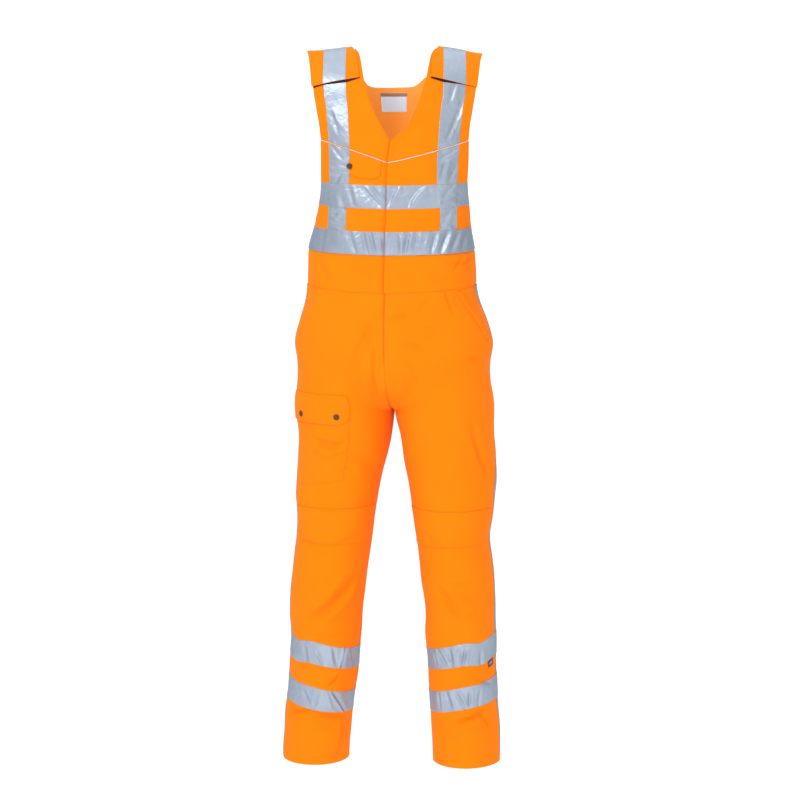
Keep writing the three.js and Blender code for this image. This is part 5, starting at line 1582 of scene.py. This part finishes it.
class OverallsLight(bpy.types.PropertyGroup):
    room: number_property("Room", "Strength of the white room", 1.0)
    front: number_property("Front", "Strength of the room in front", 0.16)
    sides: number_property("Sides", "Strength of the room at both sides", 0.2)
    shift: number_property("Shift", "How much sooner the wearer's left is dark", 0.08)
    above: number_property("Above", "Strength of the room overhead", 0.9)
    key: number_property("Key", "Soft light from the front", 65, unit="POWER")
    top: number_property("Top", "Soft light close above the chest", 3, unit="POWER")
    fill: number_property("Fill", "Soft light from the wearer's left", 12, unit="POWER")
    low: number_property("Low", "Small light close to the floor in front", 3.5, unit="POWER")


class OVERALLS_OT_fronts(bpy.types.Operator):
    """Two fronts and two yokes, with armholes and the V neck"""
    bl_idname = "overalls.fronts"
    bl_label = "Bib fronts"

    def execute(self, context):
        make_fronts()
        return {"FINISHED"}


class OVERALLS_OT_piping(bpy.types.Operator):
    """Round cord in the yoke seams"""
    bl_idname = "overalls.piping"
    bl_label = "Piping"

    def execute(self, context):
        make_piping()
        return {"FINISHED"}


class OVERALLS_OT_back(bpy.types.Operator):
    """High back in one piece"""
    bl_idname = "overalls.back"
    bl_label = "Back"

    def execute(self, context):
        make_back()
        return {"FINISHED"}


class OVERALLS_OT_straps(bpy.types.Operator):
    """Wide straps with their tapes"""
    bl_idname = "overalls.straps"
    bl_label = "Shoulder straps"

    def execute(self, context):
        make_straps()
        return {"FINISHED"}


class OVERALLS_OT_waistband(bpy.types.Operator):
    """Band between waist tape and waist seam"""
    bl_idname = "overalls.waistband"
    bl_label = "Waistband"

    def execute(self, context):
        make_waistband()
        return {"FINISHED"}


class OVERALLS_OT_trousers(bpy.types.Operator):
    """Four leg panels"""
    bl_idname = "overalls.trousers"
    bl_label = "Trousers"

    def execute(self, context):
        make_trousers()
        return {"FINISHED"}


class OVERALLS_OT_knees(bpy.types.Operator):
    """Pieces sewn over the knees"""
    bl_idname = "overalls.knees"
    bl_label = "Knee pieces"

    def execute(self, context):
        make_knees()
        return {"FINISHED"}


class OVERALLS_OT_pockets(bpy.types.Operator):
    """Chest flap, thigh pocket with flap, hip pocket edges"""
    bl_idname = "overalls.pockets"
    bl_label = "Pockets"

    def execute(self, context):
        make_pockets()
        return {"FINISHED"}


class OVERALLS_OT_tapes(bpy.types.Operator):
    """All tapes but those on the straps"""
    bl_idname = "overalls.tapes"
    bl_label = "Reflective tapes"

    def execute(self, context):
        make_tapes()
        return {"FINISHED"}


class OVERALLS_OT_studs(bpy.types.Operator):
    """Three caps of antique brass"""
    bl_idname = "overalls.studs"
    bl_label = "Press studs"

    def execute(self, context):
        make_studs()
        return {"FINISHED"}


class OVERALLS_OT_labels(bpy.types.Operator):
    """Plain neck label and plain tag"""
    bl_idname = "overalls.labels"
    bl_label = "Labels"

    def execute(self, context):
        make_labels()
        return {"FINISHED"}


class OVERALLS_OT_stitching(bpy.types.Operator):
    """Thread along the seams, hems and tapes"""
    bl_idname = "overalls.stitching"
    bl_label = "Stitching"

    def execute(self, context):
        make_stitching()
        return {"FINISHED"}


class OVERALLS_OT_stage(bpy.types.Operator):
    """Floor, room light, lamps and camera"""
    bl_idname = "overalls.stage"
    bl_label = "Stage"

    def execute(self, context):
        make_stage()
        return {"FINISHED"}


OPERATORS = [
    OVERALLS_OT_fronts, OVERALLS_OT_piping, OVERALLS_OT_back, OVERALLS_OT_straps,
    OVERALLS_OT_waistband, OVERALLS_OT_trousers, OVERALLS_OT_knees, OVERALLS_OT_pockets,
    OVERALLS_OT_tapes, OVERALLS_OT_studs, OVERALLS_OT_labels, OVERALLS_OT_stitching,
    OVERALLS_OT_stage,
]


class OVERALLS_PT_panel(bpy.types.Panel):
    """Sizes, colours and the pieces in their order of making"""
    bl_label = "Bib overalls"
    bl_idname = "OVERALLS_PT_panel"
    bl_space_type = "VIEW_3D"
    bl_region_type = "UI"
    bl_category = "Overalls"

    def draw(self, context):
        for group in GROUPS:
            box = self.layout.box()
            for name in getattr(context.scene, group).bl_rna.properties.keys():
                if name not in ("rna_type", "name"):
                    box.prop(getattr(context.scene, group), name)
        for kind in OPERATORS:
            self.layout.operator(kind.bl_idname)


GROUPS = {
    "overalls_sizes": OverallsSizes, "overalls_colours": OverallsColours,
    "overalls_light": OverallsLight,
}


def register():
    for kind in (*GROUPS.values(), *OPERATORS, OVERALLS_PT_panel):
        bpy.utils.register_class(kind)
    for name, kind in GROUPS.items():
        setattr(bpy.types.Scene, name, bpy.props.PointerProperty(type=kind))


def unregister():
    for name in GROUPS:
        delattr(bpy.types.Scene, name)
    for kind in reversed((*GROUPS.values(), *OPERATORS, OVERALLS_PT_panel)):
        bpy.utils.unregister_class(kind)


def main():
    register()
    for kind in OPERATORS:
        getattr(bpy.ops.overalls, kind.bl_idname.split(".")[1])()


if __name__ == "__main__":
    main()
